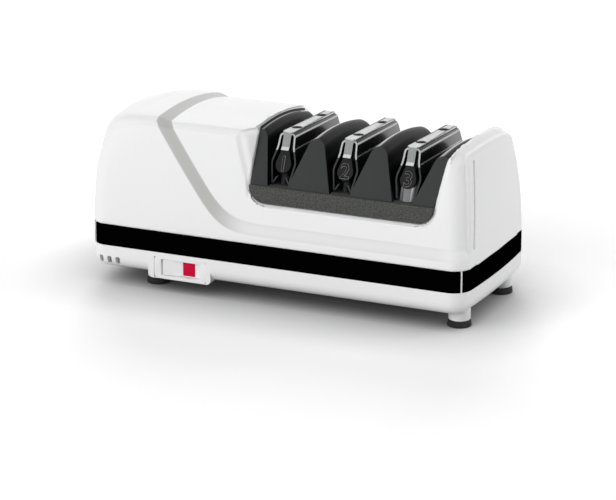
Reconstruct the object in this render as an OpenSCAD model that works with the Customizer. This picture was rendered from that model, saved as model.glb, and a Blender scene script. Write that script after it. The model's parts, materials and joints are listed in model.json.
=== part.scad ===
// Three-stage electric knife sharpener, in millimetres.
// X runs along the machine, Y to the back, Z up; the origin is on the table under the middle.

/* [Outer form] */
// Length over the bowed ends
body_l = 256; // [250:1:264]
// Depth at the dark band
body_d = 105.5; // [102:0.5:112]
// Radius of the corners seen from above
corner_r = 12; // [8:0.5:16]
// How far the ends bulge between their corners
end_bow = 1.5; // [0.5:0.1:3]
// Height of the upper housing
house_h = 72.4; // [71:0.1:76]
// Radius of the bow of the front and back faces
face_bow_r = 327; // [280:1:400]
// Radius of the bow of the end faces
end_bow_r = 330; // [280:1:400]
// Radius of the crowned top
crown_r = 220; // [180:1:300]
// Where the crown is highest, towards the front
crown_mid = -10; // [-14:0.5:-4]
// Radius of the rolled top edge
edge_r = 7; // [4:0.5:9]
// Wall of the upper housing
wall_t = 2.4; // [2:0.1:3]
// Depth of the step between the motor end and the sharpening end
step_d = 2; // [1:0.1:2.4]
// Where the step crosses the top
step_x = -78; // [-82:1:-72]
// Slope of the step on the front
step_slope = 52.5; // [50:0.5:58]
// Height of the step under the cut-out
step_z = 48; // [46:0.5:52]

/* [Base and band] */
// Thickness of the rubber pads
pad_h = 4; // [3:0.5:6]
// Diameter of the rubber pads
pad_d = 15; // [13:0.5:16]
// Length of the legs under the base
leg_h = 6.5; // [5.5:0.5:8]
// Diameter of the legs
leg_d = 13.5; // [11:0.5:14]
// Distance of the left legs from the left end
leg_in0 = 41.5; // [36:0.5:44]
// Distance of the right legs from the right end
leg_in1 = 11.5; // [11:0.5:16]
// Distance of the legs from the middle, front and back
leg_y = 34.8; // [30:0.1:36]
// Height of the base
base_h = 14.8; // [14:0.1:18]
// Round of the base's lower edge
base_r = 8; // [5:0.5:9]
// Floor of the base
floor_t = 2.6; // [2:0.1:3.2]
// Height of the dark band
band_h = 13.5; // [11:0.1:16]
// Thickness of the dark band
band_t = 2.6; // [2:0.1:3]
// Gap at the two seams of the band
band_gap = 0.8; // [0.4:0.1:1.2]
// Thickness of the rim that carries the band
rim_t = 2; // [1.6:0.1:2.6]

/* [Sharpening stages] */
// Middle of the first stage
stage_x0 = 1.5; // [0.5:0.1:2.5]
// Distance between stages
stage_pitch = 41; // [40.5:0.1:41.5]
// Left wall of the cut-out
cut_x0 = -16.5; // [-18:0.1:-16]
// Right wall of the cut-out at its foot
cut_x1 = 104; // [103:0.1:106]
// Lean of the right wall
cut_lean = 12; // [8:0.5:14]
// Height of the cut-out's lower edge
cut_z = 64.8; // [62:0.1:66]
// Radius of the cut-out's lower corners
cut_r = 11; // [8:0.5:14]
// Height of the deck that the ridges stand on
deck_z = 75.5; // [74:0.1:77]
// Thickness of the deck
deck_t = 4; // [3:0.5:5]
// Half of the depth of the ridges at their foot
ridge_y = 47.6; // [46:0.1:48.5]
// Lean of the ridges' front and back faces
ridge_lean = 26.5; // [22:0.5:30]
// Top of the ridges
ridge_top = 106; // [103:0.5:108]
// Radius of the ridges' arched backs
ridge_arch_r = 180; // [140:1:240]
// Where the arched backs are highest, towards the front
ridge_arch_mid = -10; // [-14:0.5:-4]
// Radius of the ridges' peaks
peak_r = 2.6; // [2:0.1:3.4]
// Angle of the blade guides from the vertical
guide_angle = 20; // [19:0.5:23]
// How far the arched back cuts into the round of the peaks
peak_cut = 0.6; // [0.4:0.1:1]
// Thickness of the aprons
apron_t = 4; // [3:0.5:6]

/* [Guide springs] */
// Half of the width of a spring at its top
spring_w_top = 5.2; // [4.8:0.1:5.8]
// Half of the width of a spring at its shoulders
spring_w_mid = 8.2; // [7.4:0.1:8.6]
// Half of the width of a spring at its feet
spring_w_foot = 5.4; // [5:0.1:5.8]
// Sheet of the springs
spring_t = 1.2; // [0.8:0.1:1.4]
// Height of the springs' tops
spring_z = 104.2; // [103:0.1:105]
// Height of the springs' shoulders
shoulder_z = 87; // [85:0.5:90]
// Height where the straight upper sides end
neck_z = 97; // [95:0.5:98]
// Height of the springs' feet
spring_foot_z = 76.4; // [76:0.1:78]
// Lean of the springs' front and back edges
spring_lean = 23; // [18:0.5:26]
// Half of the length of the top strips
strip_y = 30.5; // [29:0.1:32]
// Half of the width of the top strips
strip_w = 3.6; // [3.4:0.1:4.2]
// Thickness of the top strips
strip_t = 1; // [0.6:0.1:1.2]
// Half of the width of the tongues
tongue_w = 2.5; // [2:0.1:3]
// Height of the tongues' lower ends
tongue_z = 95; // [93:0.5:97]
// Distance of the strip screws from the middle
screw_y = 18.3; // [16:0.1:20]
// Diameter of the screw holes in the strips
screw_hole_d = 6.5; // [6.2:0.1:6.8]
// Radius of the number plates
plate_r = 5.1; // [4.6:0.1:5.2]
// Height of the number plates' round ends
plate_z = 87; // [85.5:0.1:88]
// Thickness of the number plates
plate_t = 2.2; // [1.6:0.1:2.8]
// Diameter of the legs under the spring bridges
post_d = 6.4; // [5:0.1:7]
// Wall of the polished sleeve on the third stage
sleeve_t = 0.8; // [0.5:0.1:1.2]

/* [Drive] */
// Height of the drive shaft
shaft_z = 58; // [57:0.1:58.5]
// Diameter of the drive shaft
shaft_d = 6; // [5:0.1:7]
// Left end of the shaft
shaft_x0 = -107; // [-108:0.5:-104]
// Right end of the shaft
shaft_x1 = 104; // [102.5:0.5:106]
// Radius of the sharpening discs
disc_r = 25; // [23:0.1:25.5]
// Radius where the working cone ends
cone_r = 19; // [17:0.1:20]
// Distance from a stage's middle to the flat of a disc
disc_x = 5.9; // [5.5:0.1:6]
// Room left behind a disc at the end of its travel
disc_room = 1.2; // [1:0.1:1.4]
// Depth of the working cone along the shaft
cone_depth = 2.2; // [1.6:0.1:2.4]
// Radius of the disc hubs
hub_r = 10; // [9.5:0.1:11]
// Distance from a stage's middle to the end of a hub
hub_x = 9; // [8.8:0.1:9.6]
// Travel of a disc along the shaft
disc_travel = 1.2; // [0.8:0.1:1.4]
// Radius of the spring pocket in a disc
pocket_r = 8.2; // [7.6:0.1:8.6]
// Floor of the spring pocket
pocket_t = 2.2; // [2:0.1:2.4]
// Diameter of the cross pins that drive the discs
pin_d = 2; // [1.6:0.1:2.2]
// Mean radius of the disc springs
coil_r = 5.6; // [5:0.1:6.2]
// Wire of the disc springs
coil_wire = 0.9; // [0.7:0.1:1]
// Turns of the disc springs
coil_turns = 5; // [4:1:6]

/* [Motor] */
// Left face of the stator
stator_x0 = -74; // [-76:0.5:-72]
// Length of the stator
stator_l = 32; // [28:0.5:34]
// Width of the stator
stator_w = 64; // [60:0.5:68]
// Height of the stator
stator_h = 66; // [64:0.5:70]
// Radius of the rotor
rotor_r = 15; // [13:0.1:16]
// Air gap round the rotor
air_gap = 0.6; // [0.4:0.1:1]
// Distance from the stator to a bracket
bracket_gap = 11; // [10:0.5:12]
// Thickness of the brackets
bracket_t = 2.5; // [2:0.1:3.5]
// Radius of the bearings
bearing_r = 6; // [5.5:0.1:7]
// Length of the bearings
bearing_l = 6; // [5:0.5:7]
// Radius of the fan
fan_r = 27; // [24:0.5:29]
// Left face of the fan
fan_x = -104; // [-105:0.5:-102]
// Length of the fan
fan_l = 9; // [7:0.5:9]
// Blades of the fan
fan_blades = 7; // [5:1:9]
// Right face of the end bracket
end_x = 100; // [99:0.5:101]

/* [Switch] */
// Middle of the switch
switch_x = -62.5; // [-65:0.5:-60]
// Height of the switch's middle
switch_z = 15.8; // [15.6:0.1:16.6]
// Width of the switch frame
frame_w = 36; // [35:0.5:40]
// Height of the switch frame
frame_h = 13.2; // [13:0.1:14]
// Half of the width of the rocker
rocker_w = 12.4; // [11.4:0.1:12.6]
// Half of the height of the rocker
rocker_h = 4.9; // [4.4:0.1:5]
// Tilt of the rocker at rest
rocker_tilt = 8; // [6:0.5:9]

// Reach of the lip under the switch, to the left of its middle
lip_w0 = 22; // [20:0.5:24]
// Reach of the lip under the switch, to the right of its middle
lip_w1 = 21; // [20:0.5:24]
// Wall of the lip under the switch frame
lip_t = 0.9; // [0.6:0.1:1.2]

/* [Fits] */
// Radial clearance of a running fit
run_gap = 0.05; // [0.02:0.01:0.08]
// Radial clearance of a fixed fit
fit_gap = 0.02; // [0.01:0.01:0.04]
// Clearance between pieces that are set side by side
part_gap = 0.3; // [0.2:0.05:0.4]

/* [Hidden] */
$fn = 48;
slice = 0.02;
far = 400;

base_z = pad_h + leg_h;
band_z = base_z + base_h;
house_z = band_z + band_h;
top_z = house_z + house_h;
floor_z = base_z + floor_t;
stage_xs = [for (k = [0:2]) stage_x0 + k * stage_pitch];
ridge_xs = [for (k = [0:3]) stage_x0 + (k - 0.5) * stage_pitch];

// Points of a round stretch
function arc(cx, cy, r, a0, a1, n = 6) =
    [for (i = [0:n]) [cx + r * cos(a0 + (a1 - a0) * i / n), cy + r * sin(a0 + (a1 - a0) * i / n)]];

// Outline seen from above: straight long sides, round corners and bulging ends
function plan(xh, yf, yb, r) =
    let (q = min(r, (yb - yf) / 2 - slice), xe = xh - end_bow, n = 6,
         bulge = [for (i = [1:n - 1]) let (s = 2 * i / n - 1)
                  [xe + end_bow * (1 - s * s), (yf + yb) / 2 + s * ((yb - yf) / 2 - q)]])
    concat(arc(xe - q, yf + q, q, -90, 0), bulge, arc(xe - q, yb - q, q, 0, 90),
           arc(q - xe, yb - q, q, 90, 180), [for (p = bulge) [-p[0], yf + yb - p[1]]],
           arc(q - xe, yf + q, q, 180, 270));

module plan_slab(inset, h) linear_extrude(h)
    polygon(plan(body_l / 2 - inset, inset - body_d / 2, body_d / 2 - inset, corner_r - inset));

// Inset of a bowed face and of a rolled edge at a height
function bow_in(z, r) = r - sqrt(r * r - pow(z - house_z, 2));
function roll_in(z, top) =
    z <= top - edge_r ? 0 : edge_r - sqrt(max(edge_r * edge_r - pow(z - top + edge_r, 2), 0));
function crown_z(y) = top_z - pow(y - crown_mid, 2) / (2 * crown_r);
function crown_y(z) = sqrt(2 * crown_r * max(top_z - z, 0));

face_in = bow_in(top_z, face_bow_r);
front_edge_z = crown_z(face_in - body_d / 2);
back_edge_z = crown_z(body_d / 2 - face_in);
end_drop = 1.2;
house_levels = [0, 0.25, 0.5, 0.72, 0.83, 0.885, 0.92, 0.946, 0.965, 0.981, 0.994, 0.999];

function house_plan(z, in_x, in_y) =
    let (face = body_d / 2 - bow_in(z, face_bow_r),
         yf = max(roll_in(z, front_edge_z) - face, crown_mid - crown_y(z)),
         yb = min(face - roll_in(z, back_edge_z), crown_mid + crown_y(z)),
         xh = body_l / 2 - bow_in(z, end_bow_r) - roll_in(z, top_z - end_drop),
         d = min(in_y, (yb - yf) / 2 - 4 * slice))
    plan(xh - in_x, yf + d, yb - d, corner_r);

// Outer form of the upper housing, drawn in at its ends, at its front and back, and at its top
module house_form(in_x, in_y, drop)
    hull() for (t = house_levels) {
        z = house_z + t * house_h;
        translate([0, 0, house_z + t * (house_h - drop)]) linear_extrude(slice)
            polygon(house_plan(z, in_x, in_y));
    }

// Runs a profile drawn in X and Z along Y, or one drawn in Y and Z along X
module along_y(l = far) rotate([90, 0, 0]) linear_extrude(l, center = true) children();
module along_x(x, l) translate([x, 0, 0]) rotate([90, 0, 90]) linear_extrude(l) children();
module x_rod(x, l, r) translate([x, 0, shaft_z]) rotate([0, 90, 0]) cylinder(h = l, r = r);

// Where the step runs: across the top, down the slope and along under the cut-out
step_knee_r = 13;
step_foot_x = step_x + (crown_z(-body_d / 2) - step_z) / tan(step_slope);
module proud_side() {
    reach = step_knee_r * tan(step_slope / 2);
    knee = arc(step_foot_x + reach, step_z + step_knee_r, step_knee_r, 270 - step_slope, 270);
    along_y() polygon(concat([[-far, 0], [-far, far], [step_x, far], [step_x, crown_z(-body_d / 2)]], knee,
                             [[far, step_z], [far, 0]]));
}

// The cut-out for the sharpening stages, drawn in by a gap
module cut_profile(gap = 0) {
    r = cut_r - gap;
    x0 = cut_x0 + gap;
    x1 = cut_x1 - gap;
    z0 = cut_z + gap;
    top = 2 * top_z;
    polygon(concat(arc(x0 + r, z0 + r, r, 180, 270), arc(x1 - r, z0 + r, r, 270, 360 - cut_lean),
                   [[x1 + (top - z0 - r) * tan(cut_lean), top], [x0, top]]));
}

// Places of the housing screws and their bosses
boss_r = 4.2;
boss_y = 36;
boss_in0 = 15;
boss_in1 = 33;
boss_xs = [boss_in0 - body_l / 2, body_l / 2 - boss_in1];
boss_foot_z = 24;
boss_top_z = 57;
boss_cap_t = 4;
screw_r = 1.75;
screw_head_r = 3.3;
screw_head_h = 2.4;
screw_tip = 2;
rib_t = 2.4;
rib_lift = 2;
join = 1;
module at_bosses() for (x = boss_xs, s = [-1, 1]) translate([x, s * boss_y, 0]) children();

module upper_housing() color("whitesmoke") difference() {
    union() {
        difference() {
            union() {
                intersection() { house_form(0, 0, 0); proud_side(); }
                house_form(0, step_d, step_d);
            }
            house_form(wall_t, step_d + wall_t, step_d + wall_t);
            translate([0, 0, house_z - join]) linear_extrude(2 * join)
                polygon(house_plan(house_z, wall_t, step_d + wall_t));
        }
        intersection() {
            house_form(wall_t / 2, step_d + wall_t / 2, step_d + wall_t / 2);
            union() {
                translate([cut_x0 - wall_t, -far / 2, cut_z + join]) cube([wall_t, far, far]);
                along_y() polygon([[cut_x1, cut_z + join], [cut_x1 + wall_t, cut_z + join],
                                   [cut_x1 + wall_t + (top_z - cut_z) * tan(cut_lean), top_z],
                                   [cut_x1 + (top_z - cut_z) * tan(cut_lean), top_z]]);
            }
        }
        at_bosses() translate([0, 0, boss_foot_z]) cylinder(h = boss_top_z - boss_foot_z, r = boss_r);
        intersection() {
            house_form(wall_t / 2, step_d + wall_t / 2, step_d + wall_t / 2);
            for (x = boss_xs, s = [-1, 1])
                translate([x - rib_t / 2, s > 0 ? boss_y : -body_d, house_z + rib_lift])
                    cube([rib_t, body_d - boss_y, boss_top_z - house_z - rib_lift]);
        }
    }
    along_y() cut_profile();
    at_bosses() translate([0, 0, boss_foot_z - join])
        cylinder(h = boss_top_z - boss_foot_z + join - boss_cap_t, r = screw_r + fit_gap);
}

// Base with its rim, legs and openings
pocket_in = band_t + part_gap / 3 + rim_t;
seat_gap = 0.2;
rim_top = house_z - seat_gap;
stub_r = 2.5;
stub_h = 4;
vent_w = 3.3;
vent_h = 6;
vent_in = 10.3;
vent_pitch = 5.8;
vent_xs = [for (k = [0:2]) vent_in - body_l / 2 + k * vent_pitch];
vent_drop = 12.1;
vent_z = band_z - vent_drop;
vent_deep = 6;
cover_x = stage_xs[1];
cover_l = 96;
cover_w = 50;
inlet_in = 28;
inlet_x = inlet_in - body_l / 2;
inlet_lift = 8.5;
inlet_z = base_z + inlet_lift;
inlet_r = 5.5;
module at_legs() for (x = [leg_in0 - body_l / 2, body_l / 2 - leg_in1], s = [-1, 1])
    translate([x, s * leg_y, 0]) children();

function base_in(h) = h >= base_r ? 0 : base_r - sqrt(base_r * base_r - pow(base_r - h, 2));
module base_form()
    hull() for (t = [0, 0.06, 0.2, 0.4, 0.65, 1])
        translate([0, 0, base_z + t * base_r])
            plan_slab(base_in(t * base_r), t < 1 ? slice : base_h - base_r);

frame_set = 0.35;
frame_y = frame_set - body_d / 2;
frame_t = 1.6;
collar_wall = 1.2;
collar_gap = 0.3;
rocker_play = 0.8;
collar_w = rocker_w + rocker_play;
collar_h = rocker_h + collar_gap;
collar_l = 5;
pivot_in = 5.5;
pivot_y = pivot_in - body_d / 2;

// Lip that carries the switch frame below the rounded edge of the base
lip_r = 3;
lip_back = 1.5;
lip_d = base_r + lip_back;
lip_z = switch_z - (frame_h + part_gap) / 2 - lip_t;
module switch_lip() translate([switch_x, -body_d / 2 + lip_d, 0]) rotate([90, 0, 0]) linear_extrude(lip_d)
    hull() for (x = [lip_r - lip_w0, lip_w1 - lip_r], z = [lip_z + lip_r, band_z - lip_r])
        translate([x, z]) circle(r = lip_r);

module base_tray() color("whitesmoke") difference() {
    union() {
        difference() {
            union() {
                base_form();
                translate([0, 0, band_z - join]) plan_slab(pocket_in - rim_t, rim_top - band_z + join);
            }
            translate([0, 0, floor_z]) plan_slab(pocket_in, far);
        }
        switch_lip();
        at_legs() translate([0, 0, pad_h]) cylinder(h = leg_h + floor_t, d = leg_d);
        at_bosses() translate([0, 0, base_z + floor_t / 2])
            cylinder(h = boss_foot_z - base_z - floor_t / 2 - seat_gap / 2, r = boss_r);
    }
    at_legs() translate([0, 0, pad_h - join]) cylinder(h = stub_h + join, r = stub_r + fit_gap);
    at_bosses() {
        translate([0, 0, base_z - join]) cylinder(h = far, r = screw_r + seat_gap);
        translate([0, 0, base_z - join])
            cylinder(h = screw_head_h + part_gap + join, r = screw_head_r + part_gap);
    }
    for (x = vent_xs) translate([x - vent_w / 2, -body_d, vent_z])
        cube([vent_w, body_d / 2 + vent_deep, vent_h]);
    switch_box(collar_w + collar_wall + part_gap, collar_h + collar_wall + part_gap, -body_d,
               body_d / 2 + lip_d + part_gap);
    switch_box((frame_w + part_gap) / 2, (frame_h + part_gap) / 2, -body_d, body_d + frame_y + frame_t);
    translate([cover_x - cover_l / 2, -cover_w / 2, base_z - join])
        cube([cover_l, cover_w, floor_t + 2 * join]);
    translate([inlet_x, body_d / 2 - 2 * pocket_in, inlet_z]) rotate([-90, 0, 0])
        cylinder(h = 3 * pocket_in, r = inlet_r + fit_gap);
    at_bracket_screws() translate([0, 0, base_z - join]) cylinder(h = far, r = bracket_screw_r + fit_gap);
}

module foot_pads() color("#1c1c1c") at_legs() {
    cylinder(h = pad_h, d = pad_d);
    cylinder(h = pad_h + stub_h - seat_gap, r = stub_r);
}

// The dark band: one piece across the front and one round the ends and the back
seam_in = 3.6;
seam_y = seam_in - body_d / 2;
module band_ring() translate([0, 0, band_z]) difference() {
    plan_slab(0, band_h);
    translate([0, 0, -join]) plan_slab(band_t, band_h + 2 * join);
}
module front_band() color("#111111") intersection() {
    band_ring();
    translate([-far / 2, -far, 0]) cube([far, far + seam_y - band_gap / 2, far]);
}
module rear_band() color("#111111") intersection() {
    band_ring();
    translate([-far / 2, seam_y + band_gap / 2, 0]) cube([far, far, far]);
}

// Deck, aprons and ridges of the sharpening stages
peak_mid_z = ridge_top + peak_cut - peak_r;
peak_side = [peak_r * cos(guide_angle), peak_mid_z + peak_r * sin(guide_angle)];
function ridge_half(z) = peak_side[0] + (peak_side[1] - z) * tan(guide_angle);
slot_w = stage_pitch / 2 - ridge_half(deck_z);
function apron_y(z) = bow_in(z, face_bow_r) + step_d - body_d / 2;
apron_set = 2;
deck_y = ridge_y - apron_t - apron_set;
slot_y = 33;
arch_fn = 128;

module guide_deck() color("#2a2b2b") difference() {
    intersection() {
        translate([cut_x0, -deck_y, deck_z - deck_t]) cube([far, 2 * deck_y, deck_t]);
        along_y() cut_profile(part_gap);
    }
    for (x = stage_xs) translate([x - slot_w, -slot_y, 0]) cube([2 * slot_w, 2 * slot_y, far]);
}

module apron() {
    intersection() {
        along_y() cut_profile();
        along_x(cut_x0, far) polygon([[apron_y(cut_z), cut_z], [apron_y(deck_z), deck_z], [-deck_y, deck_z],
                                      [-deck_y, cut_z]]);
    }
}
module front_apron() color("#333434") apron();
module rear_apron() color("#333434") mirror([0, 1, 0]) apron();

module ridge(k) color("#3c3d3d") intersection() {
    translate([ridge_xs[k], 0, 0]) along_y() {
        translate([0, peak_mid_z]) circle(r = peak_r);
        polygon([[-ridge_half(deck_z), deck_z], [ridge_half(deck_z), deck_z], peak_side,
                 [-peak_side[0], peak_side[1]]]);
    }
    along_x(-far / 2, far) intersection() {
        translate([ridge_arch_mid, ridge_top - ridge_arch_r]) circle(r = ridge_arch_r, $fn = arch_fn);
        polygon([[-ridge_y, deck_z], [ridge_y, deck_z],
                 [ridge_y - (ridge_top - deck_z) * tan(ridge_lean), ridge_top],
                 [(ridge_top - deck_z) * tan(ridge_lean) - ridge_y, ridge_top]]);
    }
    along_y() cut_profile(part_gap / 3);
}
module ridge_left() ridge(0);
module ridge_1_2() ridge(1);
module ridge_2_3() ridge(2);
module ridge_right() ridge(3);

// Front line of the springs, plates and tongues: it leans back with the height
strip_z = spring_z + strip_t;
function lean_y(z) = -strip_y - (strip_z - z) * tan(spring_lean);
module lean_slab(front, back, x, w) along_x(x - w, 2 * w)
    polygon([[lean_y(strip_z) + front, strip_z], [lean_y(deck_z) + front, deck_z],
             [lean_y(deck_z) + back, deck_z], [lean_y(strip_z) + back, strip_z]]);
module lean_block(in, x, w) along_x(x - w, 2 * w)
    polygon([[lean_y(strip_z) + in, strip_z], [lean_y(deck_z) + in, deck_z],
             [-lean_y(deck_z) - in, deck_z], [-lean_y(strip_z) - in, strip_z]]);

// Section of a guide spring, drawn in by its sheet
module spring_section(t)
    polygon([for (s = [1, -1]) for (p = s > 0 ? spring_side(t) : [for (i = [3:-1:0]) spring_side(t)[i]])
             [s * p[0], p[1]]]);
function spring_side(t) =
    [[spring_w_foot - t, spring_foot_z - (t > 0 ? join : 0)], [spring_w_mid - t, shoulder_z],
     [spring_w_top - t, neck_z], [spring_w_top - t, spring_z - t]];

notch_gap = 1.6;
strip_screw_r = 1.5;
module guide_spring(k) color("#161616") difference() {
    intersection() {
        translate([stage_xs[k], 0, 0]) along_y() difference() {
            spring_section(0);
            spring_section(spring_t);
        }
        lean_block(0, stage_xs[k], spring_w_mid);
    }
    x_rod(stage_xs[k] - stage_pitch / 2, stage_pitch, disc_r + notch_gap);
    for (s = [-1, 1]) translate([stage_xs[k], s * screw_y, bar_z])
        cylinder(h = far, r = strip_screw_r + fit_gap);
}
module guide_spring_1() guide_spring(0);
module guide_spring_2() guide_spring(1);
module guide_spring_3() guide_spring(2);

module top_strip(k) color("#c9cacb") difference() {
    union() {
        translate([stage_xs[k] - strip_w, -strip_y, spring_z])
            cube([2 * strip_w, 2 * strip_y, strip_t]);
        intersection() {
            lean_slab(-strip_t, 0, stage_xs[k], tongue_w);
            translate([stage_xs[k] - tongue_w, -far / 2, tongue_z])
                cube([2 * tongue_w, far, far]);
        }
        translate([stage_xs[k] - tongue_w, -strip_y - strip_t, spring_z])
            cube([2 * tongue_w, 2 * strip_t, strip_t]);
    }
    for (s = [-1, 1]) translate([stage_xs[k], s * screw_y, bar_z]) cylinder(h = far, d = screw_hole_d);
}
module top_strip_1() top_strip(0);
module top_strip_2() top_strip(1);
module top_strip_3() top_strip(2);

// A drop-shaped plate on a neck that stands behind the tongue
plate_neck_a = 15;
neck_x = plate_r * cos(plate_neck_a);
plate_neck_z = plate_z + plate_r * sin(plate_neck_a);
module number_plate(k) color("#1d1d1e") intersection() {
    lean_slab(0, plate_t, stage_xs[k], plate_r);
    translate([stage_xs[k], 0, 0]) along_y() {
        translate([0, plate_z]) circle(r = plate_r);
        polygon([[-neck_x, plate_neck_z], [neck_x, plate_neck_z], [tongue_w, tongue_z],
                 [tongue_w, spring_z - spring_t], [-tongue_w, spring_z - spring_t],
                 [-tongue_w, tongue_z]]);
    }
}
module number_plate_1() number_plate(0);
module number_plate_2() number_plate(1);
module number_plate_3() number_plate(2);

// The bridge that carries a spring: a bar under its top and a leaning leg at each end
bar_w = spring_w_top - spring_t - part_gap;
bar_z = 94;
bar_tip = 2;
post_set = 1.2;
post_y = lean_y(deck_z) + plate_t + post_d / 2 + post_set;
module leaning_post(k, r, h, side) mirror([0, side, 0]) intersection() {
    translate([stage_xs[k], post_y, deck_z]) rotate([-spring_lean, 0, 0]) translate([0, 0, -post_d])
        cylinder(h = h + post_d, r = r);
    translate([-far / 2, -far / 2, deck_z]) cube([far, far, far]);
}
module guide_bridge(k) color("#1a1a1a") difference() {
    union() {
        intersection() {
            translate([stage_xs[k] - bar_w, -far / 2, bar_z])
                cube([2 * bar_w, far, spring_z - spring_t - bar_z]);
            lean_block(plate_t + fit_gap, stage_xs[k], spring_w_top);
        }
        for (side = [0, 1])
            leaning_post(k, post_d / 2, (bar_z + bar_tip - deck_z) / cos(spring_lean), side);
    }
    for (s = [-1, 1]) translate([stage_xs[k], s * screw_y, bar_z + bar_tip / 2])
        cylinder(h = far, r = strip_screw_r + fit_gap);
}
module guide_bridge_1() guide_bridge(0);
module guide_bridge_2() guide_bridge(1);
module guide_bridge_3() guide_bridge(2);

sleeve_h = 9;
module stage_3_sleeve() color("#d6d7d8") difference() {
    leaning_post(2, post_d / 2 + sleeve_t, sleeve_h, 0);
    translate([stage_xs[2], post_y, deck_z]) rotate([-spring_lean, 0, 0])
        cylinder(h = far, r = post_d / 2 + fit_gap, center = true);
}

strip_screw_head_h = 0.7;
module strip_screws() color("#202020") for (x = stage_xs, s = [-1, 1]) translate([x, s * screw_y, 0]) {
    translate([0, 0, spring_z]) cylinder(h = strip_screw_head_h, d = screw_hole_d - 2 * part_gap);
    translate([0, 0, bar_z + bar_tip])
        cylinder(h = spring_z - bar_z - bar_tip + strip_screw_head_h / 2, r = strip_screw_r);
}

// Drive: shaft, cross pins, discs and their springs
disc_back_x = disc_travel + disc_room;
slot_gap = 0.1;
pin_x = hub_x - pin_d / 2 + part_gap;
pin_in = 2;
pin_l = 2 * (hub_r - pin_in);
module at_pins() for (x = stage_xs, s = [-1, 1])
    translate([x + s * pin_x, 0, shaft_z]) rotate([90, 0, 0]) children();

module drive_shaft() color("silver") difference() {
    x_rod(shaft_x0, shaft_x1 - shaft_x0, shaft_d / 2);
    at_pins() cylinder(h = 2 * shaft_d, r = pin_d / 2 + fit_gap, center = true);
}
module drive_pins() color("gray") at_pins() cylinder(h = pin_l, d = pin_d, center = true);

disc_bore_r = shaft_d / 2 + run_gap;
module disc(k, side, tone) color(tone) translate([stage_xs[k], 0, shaft_z]) mirror([side, 0, 0])
    difference() {
        rotate([0, 90, 0]) rotate_extrude()
            polygon([[disc_bore_r, hub_x - pocket_t], [pocket_r, hub_x - pocket_t], [pocket_r, disc_back_x],
                     [disc_r, disc_back_x], [disc_r, disc_x - cone_depth], [cone_r, disc_x], [hub_r, disc_x],
                     [hub_r, hub_x], [disc_bore_r, hub_x]]);
        translate([pin_x - pin_d / 2 - slot_gap, -hub_r - join, -pin_d / 2 - slot_gap])
            cube([hub_x, 2 * (hub_r + join), pin_d + 2 * slot_gap]);
    }
module disc_1_left() disc(0, 1, "#8a8c8f");
module disc_1_right() disc(0, 0, "#8a8c8f");
module disc_2_left() disc(1, 1, "#9a9c9f");
module disc_2_right() disc(1, 0, "#9a9c9f");
module disc_3_left() disc(2, 1, "#a08060");
module disc_3_right() disc(2, 0, "#a08060");

// A coil spring round the shaft, swept along a helix
coil_half = hub_x - pocket_t - coil_wire / 2 - slot_gap;
coil_rings = 12;
coil_sides = 6;
function coil_point(i, j) =
    let (a = 360 * i / coil_rings, b = 360 * j / coil_sides, r = coil_r + coil_wire / 2 * cos(b))
    [coil_half * (2 * i / (coil_turns * coil_rings) - 1) + coil_wire / 2 * sin(b), r * cos(a), r * sin(a)];
coil_gap = 2 * coil_half / coil_turns - coil_wire;
echo(coil_gap = coil_gap);
module disc_spring(k) color("silver") translate([stage_xs[k], 0, shaft_z]) {
    n = coil_turns * coil_rings;
    m = coil_sides;
    points = [for (i = [0:n], j = [0:m - 1]) coil_point(i, j)];
    sides = [for (i = [0:n - 1], j = [0:m - 1]) let (a = i * m + j, b = i * m + (j + 1) % m)
             each [[a, b, b + m], [a, b + m, a + m]]];
    ends = [for (j = [1:m - 2]) each [[0, j + 1, j], [n * m, n * m + j, n * m + j + 1]]];
    polyhedron(points, concat(sides, ends));
}
module disc_spring_1() disc_spring(0);
module disc_spring_2() disc_spring(1);
module disc_spring_3() disc_spring(2);

// Motor: stator with two poles, coils, rotor, fan, brackets and bearings
yoke_t = 7;
pole_w = 22;
shoe_r = rotor_r + air_gap;
shoe_t = 2.5;
shoe_z = 7;
coil_out = 6;
coil_fit = 0.2;
bolt_r = 2;
bolt_y = stator_w / 2 - yoke_t / 2;
bolt_z = stator_h / 2 - yoke_t / 2;
stator_x1 = stator_x0 + stator_l;
module at_bolts() for (s = [-1, 1], t = [-1, 1]) translate([0, s * bolt_y, t * bolt_z]) children();
module stator_box(in, x0, l) translate([x0, in - stator_w / 2, shaft_z + in - stator_h / 2])
    cube([l, stator_w - 2 * in, stator_h - 2 * in]);

module stator() color("#6f7275") difference() {
    union() {
        difference() {
            stator_box(0, stator_x0, stator_l);
            stator_box(yoke_t, stator_x0 - join, stator_l + 2 * join);
        }
        translate([stator_x0, -pole_w / 2, shaft_z - stator_h / 2 + join])
            cube([stator_l, pole_w, stator_h - 2 * join]);
        intersection() {
            x_rod(stator_x0, stator_l, shoe_r + shoe_t);
            for (s = [0, 1]) translate([stator_x0, -stator_w / 2, shaft_z]) mirror([0, 0, s])
                translate([0, 0, shoe_z]) cube([stator_l, stator_w, stator_h]);
        }
    }
    x_rod(stator_x0 - join, stator_l + 2 * join, shoe_r);
    at_bolts() x_rod(stator_x0 - join, stator_l + 2 * join, bolt_r + fit_gap);
}

coil_h = stator_h / 2 - yoke_t - shoe_r - shoe_t - 2 * coil_fit;
module field_coils() color("#a5632a") for (s = [0, 1]) translate([0, 0, shaft_z]) mirror([0, 0, s])
    difference() {
        translate([stator_x0 - coil_out, -pole_w / 2 - coil_out, shoe_r + shoe_t + coil_fit])
            cube([stator_l + 2 * coil_out, pole_w + 2 * coil_out, coil_h]);
        translate([stator_x0 - slot_gap, -pole_w / 2 - slot_gap, 0])
            cube([stator_l + 2 * slot_gap, pole_w + 2 * slot_gap, far]);
    }

module rotor() color("#7d8084") difference() {
    x_rod(stator_x0 - join, stator_l + 2 * join, rotor_r);
    x_rod(stator_x0 - 2 * join, stator_l + 4 * join, shaft_d / 2 + fit_gap);
}

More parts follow.
